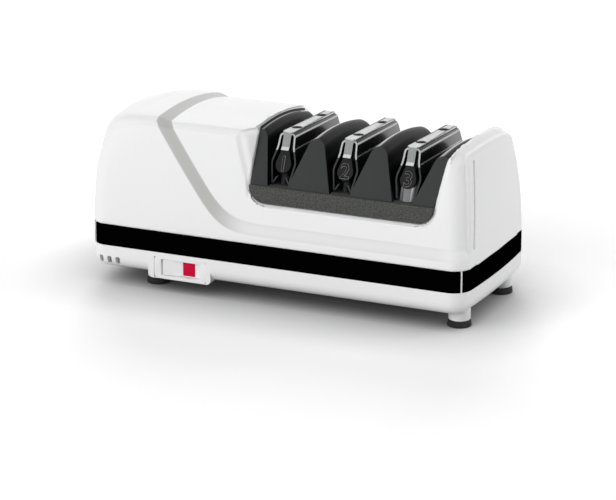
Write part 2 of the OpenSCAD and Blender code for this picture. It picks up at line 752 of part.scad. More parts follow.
fan_hub_r = 7;
blade_t = 1.6;
blade_in = 0.8;
blade_root = 2;
blade_turn = 35;
module fan() color("#e9e4d6") difference() {
    union() {
        x_rod(fan_x, fan_l, fan_hub_r);
        for (i = [0:fan_blades - 1]) translate([fan_x + fan_l / 2, 0, shaft_z])
            rotate([i * 360 / fan_blades, 0, 0]) rotate([0, 0, blade_turn])
                translate([blade_in - fan_l / 2, -blade_t / 2, fan_hub_r - blade_root])
                    cube([fan_l - 2 * blade_in, blade_t, fan_r - fan_hub_r]);
    }
    x_rod(fan_x - join, fan_l + 2 * join, shaft_d / 2 + fit_gap);
}

bracket_w = 30;
bracket_foot = 12;
bracket_rise = 12;
bracket_window = 10;
bracket_screw_r = 1.6;
bracket_screw_y = 11;
bracket_screw_in = 5;
bearing_wall = 2.5;
bolt_head_h = 2;
bolt_head_r = 3.6;
bracket_head_h = 1.8;
bracket_head_r = 2.9;
bracket_xs = [stator_x0 - bracket_gap - bracket_t, stator_x1 + bracket_gap];
end_bracket_x = end_x - bracket_t;
bracket_screw_xs = [for (x = [bracket_xs[0], bracket_xs[1], end_bracket_x]) x + bracket_t + bracket_screw_in];
module at_bracket_screws() for (x = bracket_screw_xs, s = [-1, 1])
    translate([x, s * bracket_screw_y, 0]) children();
module bracket(x, top) difference() {
    union() {
        translate([x, -bracket_w / 2, floor_z]) cube([bracket_t, bracket_w, top - floor_z]);
        translate([x, -bracket_w / 2, floor_z]) cube([bracket_foot, bracket_w, bracket_t]);
        x_rod(x, bearing_l, bearing_r + bearing_wall);
        children();
    }
    x_rod(x - join, bearing_l + 2 * join, bearing_r + fit_gap);
    at_bracket_screws() cylinder(h = floor_z + bracket_t + join, r = bracket_screw_r + fit_gap);
    at_bolts() x_rod(x - join, bracket_t + 2 * join, bolt_r + fit_gap);
}
module motor_bracket(k) color("#9fa2a5") bracket(bracket_xs[k], shaft_z + bracket_rise)
    translate([bracket_xs[k], -stator_w / 2, shaft_z - stator_h / 2]) difference() {
        cube([bracket_t, stator_w, stator_h]);
        for (y = [yoke_t, stator_w - yoke_t - bracket_window]) translate([-join, y, yoke_t])
            cube([bracket_t + 2 * join, bracket_window, stator_h - 2 * yoke_t]);
    }
module motor_bracket_left() motor_bracket(0);
module motor_bracket_right() motor_bracket(1);
module end_bracket() color("#9fa2a5") bracket(end_bracket_x, shaft_z + bearing_r);

module bearing(x) color("#b08d57") difference() {
    x_rod(x, bearing_l, bearing_r);
    x_rod(x - join, bearing_l + 2 * join, shaft_d / 2 + run_gap);
}
module left_bearing() bearing(bracket_xs[0]);
module right_bearing() bearing(bracket_xs[1]);
module end_bearing() bearing(end_bracket_x);

module motor_bolts() color("silver") at_bolts() {
    x_rod(bracket_xs[0], bracket_xs[1] + bracket_t - bracket_xs[0], bolt_r);
    x_rod(bracket_xs[0] - bolt_head_h, bolt_head_h, bolt_head_r);
    x_rod(bracket_xs[1] + bracket_t, bolt_head_h, bolt_head_r);
}
module bracket_screws() color("silver") at_bracket_screws() {
    translate([0, 0, base_z + part_gap]) cylinder(h = floor_t + bracket_t - part_gap, r = bracket_screw_r);
    translate([0, 0, floor_z + bracket_t]) cylinder(h = bracket_head_h, r = bracket_head_r);
}

// Switch: frame, body, rocker and its red half
trunnion_r = 1.1;
trunnion_l = 0.9;
module switch_box(w, h, y0, l) translate([switch_x - w, y0, switch_z - h]) cube([2 * w, l, 2 * h]);
module switch_frame() color("whitesmoke") difference() {
    union() {
        switch_box(frame_w / 2, frame_h / 2, frame_y, frame_t);
        switch_box(collar_w + collar_wall, collar_h + collar_wall, frame_y, frame_t + collar_l);
    }
    switch_box(collar_w, collar_h, frame_y - join, far);
    translate([switch_x, pivot_y, switch_z - collar_h - trunnion_l - run_gap])
        cylinder(h = 2 * (collar_h + trunnion_l + run_gap), r = trunnion_r + run_gap);
}
switch_back = 2;
switch_room = 3;
switch_body_y = frame_y + frame_t + collar_l;
module switch_body() color("#222222") difference() {
    translate([switch_x - collar_w - collar_wall, switch_body_y, floor_z + part_gap])
        cube([2 * (collar_w + collar_wall), -stator_w / 2 - switch_back - switch_body_y,
              switch_z + collar_h + collar_wall - floor_z - part_gap]);
    switch_box(rocker_w, rocker_h - rocker_edge, switch_body_y - join, join + switch_room);
}

// Rocker section seen from above, with its pivot at the origin
flag_t = 0.9;
rocker_face = 4;
rocker_dip = 2.6;
rocker_edge = 2;
rocker_back = 1;
flag_in = 0.7;
function face_y(x) = -rocker_dip - (rocker_face - rocker_dip) * abs(x) / rocker_w;
flag_xs = [flag_in, rocker_w - flag_in];
module rocker_flag_section()
    polygon([[flag_xs[0], face_y(flag_xs[0])], [flag_xs[1], face_y(flag_xs[1])],
             [flag_xs[1], face_y(flag_xs[1]) + flag_t], [flag_xs[0], face_y(flag_xs[0]) + flag_t]]);
module at_pivot() translate([switch_x, pivot_y, switch_z]) rotate([0, 0, rocker_tilt]) children();
module power_rocker() color("whitesmoke") at_pivot() {
    linear_extrude(2 * rocker_h, center = true) difference() {
        polygon([[-rocker_w, face_y(rocker_w)], [0, face_y(0)], [rocker_w, face_y(rocker_w)],
                 [rocker_w, -rocker_edge], [rocker_edge, rocker_back], [-rocker_edge, rocker_back],
                 [-rocker_w, -rocker_edge]]);
        rocker_flag_section();
    }
    cylinder(h = 2 * (rocker_h + collar_gap + trunnion_l - run_gap), r = trunnion_r, center = true);
}
module rocker_flag() color("#d40038") at_pivot()
    linear_extrude(2 * rocker_h, center = true) rocker_flag_section();

// Underside: clean-out cover with its magnet; back: cord inlet; screws
module clean_out_cover() color("#e4e4e6") {
    translate([cover_x - cover_l / 2 + part_gap, -cover_w / 2 + part_gap, base_z])
        cube([cover_l - 2 * part_gap, cover_w - 2 * part_gap, floor_t - seat_gap]);
}
magnet_r = 8;
magnet_h = 4;
module filings_magnet() color("#55565a") translate([cover_x, 0, floor_z - seat_gap])
    cylinder(h = magnet_h, r = magnet_r);

inlet_bore_r = 3.4;
inlet_lip_t = 2;
inlet_lip = 0.4;
module cord_inlet() color("#1a1a1a")
    translate([inlet_x, body_d / 2 - pocket_in - inlet_lip_t, inlet_z]) rotate([-90, 0, 0]) difference() {
        union() {
            cylinder(h = pocket_in + inlet_lip_t, r = inlet_r);
            cylinder(h = inlet_lip_t - slot_gap, r = inlet_r + inlet_lip);
        }
        translate([0, 0, -join]) cylinder(h = far, r = inlet_bore_r);
    }

module base_screws() color("silver") at_bosses() {
    translate([0, 0, base_z + slot_gap]) cylinder(h = screw_head_h + seat_gap, r = screw_head_r);
    translate([0, 0, base_z + screw_head_h])
        cylinder(h = boss_top_z - base_z - screw_head_h - boss_cap_t - screw_tip, r = screw_r);
}

upper_housing();
base_tray();
front_band();
rear_band();
foot_pads();
guide_deck();
front_apron();
rear_apron();
ridge_left();
ridge_1_2();
ridge_2_3();
ridge_right();
guide_bridge_1();
guide_bridge_2();
guide_bridge_3();
guide_spring_1();
guide_spring_2();
guide_spring_3();
top_strip_1();
top_strip_2();
top_strip_3();
number_plate_1();
number_plate_2();
number_plate_3();
strip_screws();
stage_3_sleeve();
drive_shaft();
drive_pins();
disc_1_left();
disc_1_right();
disc_2_left();
disc_2_right();
disc_3_left();
disc_3_right();
disc_spring_1();
disc_spring_2();
disc_spring_3();
stator();
field_coils();
rotor();
fan();
motor_bracket_left();
motor_bracket_right();
end_bracket();
left_bearing();
right_bearing();
end_bearing();
motor_bolts();
bracket_screws();
switch_frame();
switch_body();
power_rocker();
rocker_flag();
clean_out_cover();
filings_magnet();
cord_inlet();
base_screws();
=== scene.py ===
"""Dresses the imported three-stage knife sharpener: shaped housing, guides, switch, finishes and studio."""
import json
import math

import bmesh
import bpy
from bpy.props import FloatProperty, FloatVectorProperty, PointerProperty
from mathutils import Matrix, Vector


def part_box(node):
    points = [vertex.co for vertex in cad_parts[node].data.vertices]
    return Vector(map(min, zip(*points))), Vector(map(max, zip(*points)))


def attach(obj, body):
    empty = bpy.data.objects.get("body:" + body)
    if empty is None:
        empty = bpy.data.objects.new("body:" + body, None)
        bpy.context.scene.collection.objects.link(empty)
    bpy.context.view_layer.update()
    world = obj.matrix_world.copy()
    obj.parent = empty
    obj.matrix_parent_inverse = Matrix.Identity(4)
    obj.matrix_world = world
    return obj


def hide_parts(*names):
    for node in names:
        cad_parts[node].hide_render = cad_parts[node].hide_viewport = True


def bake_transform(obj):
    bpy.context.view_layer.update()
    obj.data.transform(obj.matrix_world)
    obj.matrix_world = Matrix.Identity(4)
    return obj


bl_info = {
    "name": "Knife Sharpener Dressing",
    "version": (1, 0, 0),
    "blender": (4, 5, 0),
    "location": "3D View > Sidebar > Sharpener",
    "description": "Models the outer pieces of a three-stage knife sharpener over its frame",
    "category": "Object",
}

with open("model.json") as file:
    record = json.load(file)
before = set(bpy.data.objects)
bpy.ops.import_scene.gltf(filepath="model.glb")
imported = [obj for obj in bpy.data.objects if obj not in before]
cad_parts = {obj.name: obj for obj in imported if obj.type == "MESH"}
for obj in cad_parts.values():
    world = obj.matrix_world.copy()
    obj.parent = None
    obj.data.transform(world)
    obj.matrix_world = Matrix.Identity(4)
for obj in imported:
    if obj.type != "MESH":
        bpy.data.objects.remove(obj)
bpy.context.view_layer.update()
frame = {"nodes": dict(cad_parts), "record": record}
MM = 0.001
X, Y, Z = range(3)
# Levels closer than this count as the same
NEAR = 0.02 * MM
# A face points along an axis when its normal has at least this share along it
FACING = 0.9
# Half sizes and heights that the frame gives
HALF_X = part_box("rear_band")[1].x
HALF_Y = -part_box("front_band")[0].y
HOUSE_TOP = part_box("upper_housing")[1].z
STRIP_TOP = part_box("top_strip_1")[1].z
# Cuts across the body, so that its ends can swell
ROWS = [k * 6 * MM for k in range(-7, 8)]
# Turns that lay a bar along an axis
LYING_X = (0, math.pi / 2, 0)
LYING_Y = (math.pi / 2, 0, 0)
# The shader's socket for the strength of plain reflections
SHINE = "Specular IOR Level"


def linear(code):
    """Linear colour of an sRGB hex value."""
    channels = [int(code[i:i + 2], 16) / 255 for i in (1, 3, 5)]
    return tuple(c / 12.92 if c <= 0.04045 else ((c + 0.055) / 1.055) ** 2.4 for c in channels)


def length(name, text, millimetres):
    """A size shown in the panel."""
    return FloatProperty(name=name, description=text, default=millimetres * MM, unit="LENGTH", precision=5)


def angle(name, text, degrees):
    """An angle shown in the panel."""
    return FloatProperty(name=name, description=text, default=math.radians(degrees), unit="ROTATION")


def colour(name, text, code):
    """A colour shown in the panel."""
    return FloatVectorProperty(name=name, description=text, default=linear(code), subtype="COLOR", size=3,
                               min=0.0, max=1.0)


class SharpenerSizes(bpy.types.PropertyGroup):
    """Sizes of the dressed pieces."""

    corner: length("Corner", "Radius of the body's corners seen from above", 12)
    end_bulge: length("End bulge", "How far the ends swell between their corners", 1.5)
    band_foot: length("Band foot", "Height where the dark band starts", 25.3)
    house_foot: length("Housing foot", "Height where the white housing starts", 38.8)
    face_bow: length("Face bow", "Radius of the bow of the long faces", 327)
    end_bow: length("End bow", "Radius of the bow of the end faces", 330)
    crown: length("Crown", "Radius of the crowned top", 220)
    crown_middle: length("Crown middle", "Where the crown is highest, front to back", -10)
    top_roll: length("Top roll", "Radius of the rolled top edge", 5)
    roll_set: length("Roll set", "How far the rolled top edge is set behind the long faces", 0.5)
    end_ease: length("End ease", "How far from the motor end the top is eased down", 26)
    end_drop: length("End drop", "How far the top is eased down at the motor end", 7)
    fin_lift: length("Fin lift", "How far the top of the fin at the right end is raised", 2.7)
    fin_fall: length("Fin fall", "How much less the fin is raised at the back", 1.3)
    fin_ease: length("Fin ease", "How far from its end the fin's top is eased down", 13)
    fin_drop: length("Fin drop", "How far the fin's top is eased down at its end", 4.5)
    fin_bow: length("Fin bow", "Radius of the bow of the fin's squarer end", 445.5)
    panel_groove: length("Panel groove", "Depth of the gap in front of the end panel", 1.5)
    step_depth: length("Step depth", "How far the sharpening end is drawn in", 2)
    step_x: length("Step place", "Where the step crosses the top", -77.5)
    step_slope: angle("Step slope", "Slope of the step down the long faces", 52.5)
    step_height: length("Step height", "Height of the step under the cut-out", 48)
    step_knee: length("Step knee", "Radius where the step turns level", 13)
    step_width: length("Step width", "Width of the sloping shoulder of the step", 7.4)
    cut_left: length("Cut-out left", "Left wall of the cut-out", -16.5)
    cut_right: length("Cut-out right", "Right wall of the cut-out at its foot", 104)
    cut_lean: angle("Cut-out lean", "Lean of the cut-out's right wall", 12)
    cut_foot: length("Cut-out foot", "Height of the cut-out's lower edge", 64.8)
    cut_corner: length("Cut-out corner", "Radius of the cut-out's lower corners", 11)
    stage_first: length("First stage", "Middle of the first sharpening stage", 1.5)
    stage_pitch: length("Stage pitch", "Distance between the stages", 41)
    deck: length("Deck", "Height of the deck under the ridges", 75.5)
    ridge_top: length("Ridge top", "Height of the ridges", 106)
    ridge_reach: length("Ridge reach", "Half of the depth of a ridge at its foot", 47.6)
    ridge_lean: angle("Ridge lean", "Lean of the ridges' front and back faces", 26.5)
    ridge_arch: length("Ridge arch", "Radius of the ridges' arched backs", 180)
    ridge_middle: length("Ridge middle", "Where the ridges are highest, front to back", -10)
    ridge_peak: length("Ridge peak", "Half of the width of a ridge near its top", 4)
    guide_angle: angle("Guide angle", "Angle of the blade guides from the vertical", 18.5)
    spring_lean: angle("Spring lean", "Lean of the springs' front and back edges", 23)
    sheet: length("Spring sheet", "Thickness of the guide springs", 1.2)
    strip_reach: length("Strip reach", "Half of the length of a top strip", 30.5)
    strip_half: length("Strip width", "Half of the width of a top strip", 3.6)
    strip_sheet: length("Strip sheet", "Thickness of a top strip", 1)
    screw_reach: length("Screw reach", "Distance of a strip screw from the middle", 18.3)
    tip: angle("Stage tip", "How far the springs' tops tip to the back", 2)
    tip_lift: length("Stage lift", "How far the springs' tops are lifted", 0.25)
    pad_radius: length("Foot radius", "Radius of a rubber foot", 7.5)
    pad_height: length("Foot height", "Height of a rubber foot", 4)
    switch_tilt: angle("Rocker tilt", "Tilt of the rocker at rest", 8)


class SharpenerColours(bpy.types.PropertyGroup):
    """Base colours of the finishes."""

    housing: colour("Housing", "White of the moulded housing", "#f5f5f6")
    # Painted shade: the grey that stands in for shade on the step's sloping shoulder and its ledge
    shoulder: colour("Shoulder", "Grey of the step's shoulder", "#bfbfbe")
    band: colour("Band", "Black of the band", "#020203")
    guides: colour("Guides", "Grey of the blade guides", "#353636")
    apron: colour("Apron", "Grey of the grained apron", "#424341")
    spring: colour("Springs", "Black of the guide springs", "#101011")
    strip: colour("Strips", "Silver of the top strips", "#d2d3d3")
    plate: colour("Plates", "Black of the number plates", "#0c0c0d")
    red: colour("Switch", "Red half of the rocker", "#ce0739")
    rubber: colour("Feet", "Black of the rubber feet", "#1a1a1a")


def sizes():
    """The sizes set in the panel."""
    return bpy.context.scene.sharpener_sizes


def colours():
    """The colours set in the panel."""
    return bpy.context.scene.sharpener_colours


def clear_choice():
    """Leaves edit mode and selects nothing."""
    if bpy.context.object and bpy.context.object.mode != "OBJECT":
        bpy.ops.object.mode_set(mode="OBJECT")
    bpy.ops.object.select_all(action="DESELECT")


def hold(piece):
    """Makes a piece the only selected and active one, in object mode."""
    clear_choice()
    piece.select_set(True)
    bpy.context.view_layer.objects.active = piece


def keep(piece, name):
    """Names a new piece and puts its place into its mesh."""
    piece.name = name
    piece.data.name = name
    hold(piece)
    bpy.ops.object.transform_apply(location=True, rotation=True, scale=True)
    return piece


def block(name, low, high):
    """A box between two corners, as a start."""
    clear_choice()
    low, high = Vector(low), Vector(high)
    bpy.ops.mesh.primitive_cube_add(size=1, location=(low + high) / 2, scale=high - low)
    return keep(bpy.context.object, name)


def rod(name, middle, radius, depth, turn=(0, 0, 0), sides=48):
    """A round bar, as a start; turn sets its axis."""
    clear_choice()
    bpy.ops.mesh.primitive_cylinder_add(vertices=sides, radius=radius, depth=depth, location=middle,
                                        rotation=turn)
    return keep(bpy.context.object, name)


def anything(item):
    """A rule that picks everything."""
    return True


def choose(piece, kind, rule):
    """Selects the vertices, edges or faces of a piece that a rule picks, in edit mode."""
    if bpy.context.object != piece or piece.mode != "EDIT":
        hold(piece)
        bpy.ops.object.mode_set(mode="EDIT")
    bpy.ops.mesh.select_mode(type=kind)
    bpy.ops.mesh.select_all(action="DESELECT")
    shape = bmesh.from_edit_mesh(piece.data)
    shape.normal_update()
    for item in {"VERT": shape.verts, "EDGE": shape.edges, "FACE": shape.faces}[kind]:
        if rule(item):
            item.select_set(True)
    shape.select_flush_mode()
    bmesh.update_edit_mesh(piece.data)


def along(edge, axis):
    """Whether an edge runs along an axis."""
    way = edge.verts[1].co - edge.verts[0].co
    return abs(way[axis]) > 0.999 * way.length


def level(edge, axis, value):
    """Whether both ends of an edge lie at a level."""
    return all(abs(v.co[axis] - value) < NEAR for v in edge.verts)


def soften(piece, rule, width, segments):
    """Bevels the edges that a rule picks."""
    choose(piece, "EDGE", rule)
    bpy.ops.mesh.bevel(offset=width, segments=segments, profile=0.5, affect="EDGES")


def draw_out(x, y, z):
    """Extrudes the selected faces or edges by a distance."""
    bpy.ops.mesh.extrude_region_move(TRANSFORM_OT_translate={"value": (x, y, z)})


def hollow(piece, axis, wall):
    """Turns a bar into a tube along an axis, with a wall of a thickness."""
    choose(piece, "FACE", lambda f: abs(f.normal[axis]) > FACING)
    bpy.ops.mesh.inset(thickness=wall)
    bpy.ops.mesh.bridge_edge_loops()


def slice_at(piece, axis, values):
    """Adds edge loops where planes across an axis cut a piece."""
    normal = [0.0, 0.0, 0.0]
    normal[axis] = 1.0
    for value in values:
        point = [0.0, 0.0, 0.0]
        point[axis] = value
        choose(piece, "VERT", anything)
        bpy.ops.mesh.bisect(plane_co=point, plane_no=normal)


def trim(piece, point, normal):
    """Cuts away what lies beyond a plane and closes the cut."""
    choose(piece, "VERT", anything)
    bpy.ops.mesh.bisect(plane_co=point, plane_no=normal, clear_outer=True, use_fill=True)


def reshape(piece, rule):
    """Moves every vertex of a piece to where a rule puts it."""
    hold(piece)
    for vertex in piece.data.vertices:
        vertex.co = rule(vertex.co)
    piece.data.update()


def turned(piece, turn, axis, middle):
    """Turns a whole piece about an axis through a point, by a right-handed angle."""
    choose(piece, "VERT", anything)
    # With no window the operator turns left-handed
    bpy.ops.transform.rotate(value=-turn, orient_axis=axis, center_override=middle)


def finish_with(piece, kind, **settings):
    """Adds a modifier with its settings and applies it."""
    hold(piece)
    modifier = piece.modifiers.new(kind.lower(), kind)
    for key, value in settings.items():
        setattr(modifier, key, value)
    bpy.ops.object.modifier_apply(modifier=modifier.name)


def ease_folds(piece, width, segments, degrees=50):
    """Rounds every fold that is sharper than an angle."""
    finish_with(piece, "BEVEL", width=width, segments=segments, limit_method="ANGLE",
                angle_limit=math.radians(degrees))


def relax(piece, group, passes):
    """Smooths a piece where a group weights it."""
    finish_with(piece, "SMOOTH", factor=0.5, iterations=passes, vertex_group=group)


def sink(piece, group, depth):
    """Draws the skin of a piece in where a group weights it."""
    finish_with(piece, "DISPLACE", strength=-depth, mid_level=0.0, vertex_group=group)


def combine(piece, operation, tools):
    """Applies other shapes to a piece, which uses them up."""
    for tool in tools:
        finish_with(piece, "BOOLEAN", operation=operation, object=tool, solver="EXACT")
        bpy.data.objects.remove(tool)


def cut(piece, *tools):
    """Takes the tools' shapes out of a piece."""
    combine(piece, "DIFFERENCE", tools)


def fuse(piece, *others):
    """Joins other shapes into a piece as one skin."""
    combine(piece, "UNION", others)


def gather(name, pieces):
    """Makes one object of several pieces."""
    clear_choice()
    for piece in pieces:
        piece.select_set(True)
    bpy.context.view_layer.objects.active = pieces[0]
    bpy.ops.object.join()
    return keep(bpy.context.object, name)


def copied(piece, name, move):
    """A copy of a piece with its own mesh, moved aside."""
    hold(piece)
    bpy.ops.object.duplicate()
    other = bpy.context.object
    other.location = Vector(move)
    return keep(other, name)


def smooth(piece, degrees=40):
    """Shades a piece smooth, apart from its sharper folds."""
    hold(piece)
    bpy.ops.object.shade_smooth_by_angle(angle=math.radians(degrees))


def tidy(piece):
    """Merges doubles and turns all faces outwards."""
    choose(piece, "VERT", anything)
    bpy.ops.mesh.remove_doubles(threshold=0.002 * MM)
    bpy.ops.mesh.normals_make_consistent(inside=False)
    clear_choice()


def coat(piece, *materials):
    """Gives a piece its materials."""
    piece.data.materials.clear()
    for material in materials:
        piece.data.materials.append(material)


def assign(piece, index, rule):
    """Gives one of a piece's materials to the faces that a rule picks."""
    choose(piece, "FACE", rule)
    piece.active_material_index = index
    bpy.ops.object.material_slot_assign()


def place(piece, body, node):
    """Fixes a finished piece to its body and hides the frame's node that it stands for."""
    clear_choice()
    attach(piece, body)
    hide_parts(node)


def dress(piece, slot, node, body="root", degrees=40):
    """Shades a finished piece, coats it with its slot's finish and fixes it in its place."""
    smooth(piece, degrees)
    coat(piece, FINISH[slot])
    place(piece, body, node)


def wire(tree, node, settings=None, links=None):
    """Sets a node's sockets or properties and links into it; a node stands for its first output."""
    for key, value in (settings or {}).items():
        if isinstance(key, int) or key in node.inputs:
            node.inputs[key].default_value = value
        else:
            setattr(node, key, value)
    for key, source in (links or {}).items():
        socket = source.outputs[0] if isinstance(source, bpy.types.Node) else source
        tree.links.new(socket, node.inputs[key])
    return node


def add_node(tree, kind, settings=None, links=None):
    """Adds one shader node with its settings and links."""
    return wire(tree, tree.nodes.new(kind), settings, links)


def new_material(name):
    """An empty material with its tree and its Principled shader."""
    material = bpy.data.materials.new(name)
    material.use_nodes = True
    return material, material.node_tree, material.node_tree.nodes["Principled BSDF"]


def shade_of(base, factor):
    """A base colour made lighter or darker."""
    return tuple(min(c * factor, 1.0) for c in base) + (1.0,)


def moulded(name, base, gloss, grain, relief, mottle, stretch=(1, 1, 1), metallic=0.0, coating=0.0,
            shine=0.5):
    """A surface with a grain and relief of a real size in mm, which moves its tone and roughness."""
    material, tree, shader = new_material(name)
    base = linear(base) if isinstance(base, str) else tuple(base)
    points = add_node(tree, "ShaderNodeTexCoord").outputs["Object"]
    mapped = add_node(tree, "ShaderNodeMapping", {"Scale": stretch}, {"Vector": points})
    per_grain = 1.0 / (grain * MM)
    noise = add_node(tree, "ShaderNodeTexNoise", {"Scale": per_grain, "Detail": 4.0, "Roughness": 0.6},
                     {"Vector": mapped})
    tone = add_node(tree, "ShaderNodeValToRGB", None, {"Fac": noise})
    for stop, position, factor in zip(tone.color_ramp.elements, (0.3, 0.7), (1.0 - mottle, 1.0 + mottle)):
        stop.position = position
        stop.color = shade_of(base, factor)
    sheen = add_node(tree, "ShaderNodeMapRange", {"To Min": gloss[0], "To Max": gloss[1]}, {"Value": noise})
    bump = add_node(tree, "ShaderNodeBump", {"Strength": 1.0, "Distance": relief * MM}, {"Height": noise})
    wire(tree, shader, {"Metallic": metallic, "Coat Weight": coating, "Coat Roughness": 0.06, SHINE: shine},
         {"Base Color": tone, "Roughness": sheen, "Normal": bump})
    return material


def grey_shoulder(tree):
    """Paints shade into a housing finish along the slope of the step, measured across it, and fainter painted
    shade along the ledge.
    """
    s = sizes()
    edge = crown_height(-HALF_Y)
    knee_x = s.step_x + (edge - s.step_height) / math.tan(s.step_slope)
    knee_round = 1.76 * s.step_knee
    half, blur = s.step_width / 2, 0.5 * MM
    rear_taper, ledge_shade = 1.5, 0.28
    shader = tree.nodes["Principled BSDF"]
    white = shader.inputs["Base Color"].links[0].from_socket
    points = add_node(tree, "ShaderNodeTexCoord").outputs["Object"]
    at = add_node(tree, "ShaderNodeSeparateXYZ", None, {"Vector": points}).outputs
    fall = add_node(tree, "ShaderNodeMapRange", {
        "From Min": edge, "From Max": edge - 1,
        "To Min": s.step_x, "To Max": s.step_x + 1 / math.tan(s.step_slope)}, {"Value": at["Z"]})
    past = add_node(tree, "ShaderNodeMath", {"operation": "SUBTRACT"}, {0: at["X"], 1: fall})
    across = add_node(tree, "ShaderNodeMath", {"operation": "MULTIPLY", 1: math.sin(s.step_slope)}, {0: past})
    above = add_node(tree, "ShaderNodeMath", {"operation": "SUBTRACT", 1: s.step_height}, {0: at["Z"]})
    bend = add_node(tree, "ShaderNodeMath", {"operation": "SMOOTH_MIN", 2: knee_round}, {0: across, 1: above})
    away = add_node(tree, "ShaderNodeMath", {"operation": "ABSOLUTE"}, {0: bend})
    taper = add_node(tree, "ShaderNodeMapRange", {
        "From Min": -HALF_Y, "From Max": HALF_Y, "To Min": 1.0, "To Max": rear_taper}, {"Value": at["Y"]})
    drawn = add_node(tree, "ShaderNodeMath", {"operation": "MULTIPLY"}, {0: away, 1: taper})
    band = add_node(tree, "ShaderNodeMapRange", {
        "From Min": half + blur, "From Max": half - blur,
        "interpolation_type": "SMOOTHSTEP"}, {"Value": drawn})
    fade = add_node(tree, "ShaderNodeMapRange", {
        "From Min": knee_x - 10 * MM, "From Max": knee_x + 16 * MM, "To Min": 1.0, "To Max": ledge_shade,
        "interpolation_type": "SMOOTHSTEP"}, {"Value": at["X"]})
    stop = add_node(tree, "ShaderNodeMapRange", {
        "From Min": HALF_X - 20 * MM, "From Max": HALF_X - 8 * MM, "To Min": 1.0, "To Max": 0.0},
        {"Value": at["X"]})
    ledge = add_node(tree, "ShaderNodeMath", {"operation": "MULTIPLY"}, {0: fade, 1: stop})
    share = add_node(tree, "ShaderNodeMath", {"operation": "MULTIPLY"}, {0: band, 1: ledge})
    # Mixes the painted shade over the white, by the band's share
    mixed = add_node(tree, "ShaderNodeMix", {"data_type": "RGBA", 7: tuple(colours().shoulder) + (1.0,)},
                     {"Factor": share, 6: white})
    wire(tree, shader, None, {"Base Color": mixed.outputs[2]})


FINISH = {}


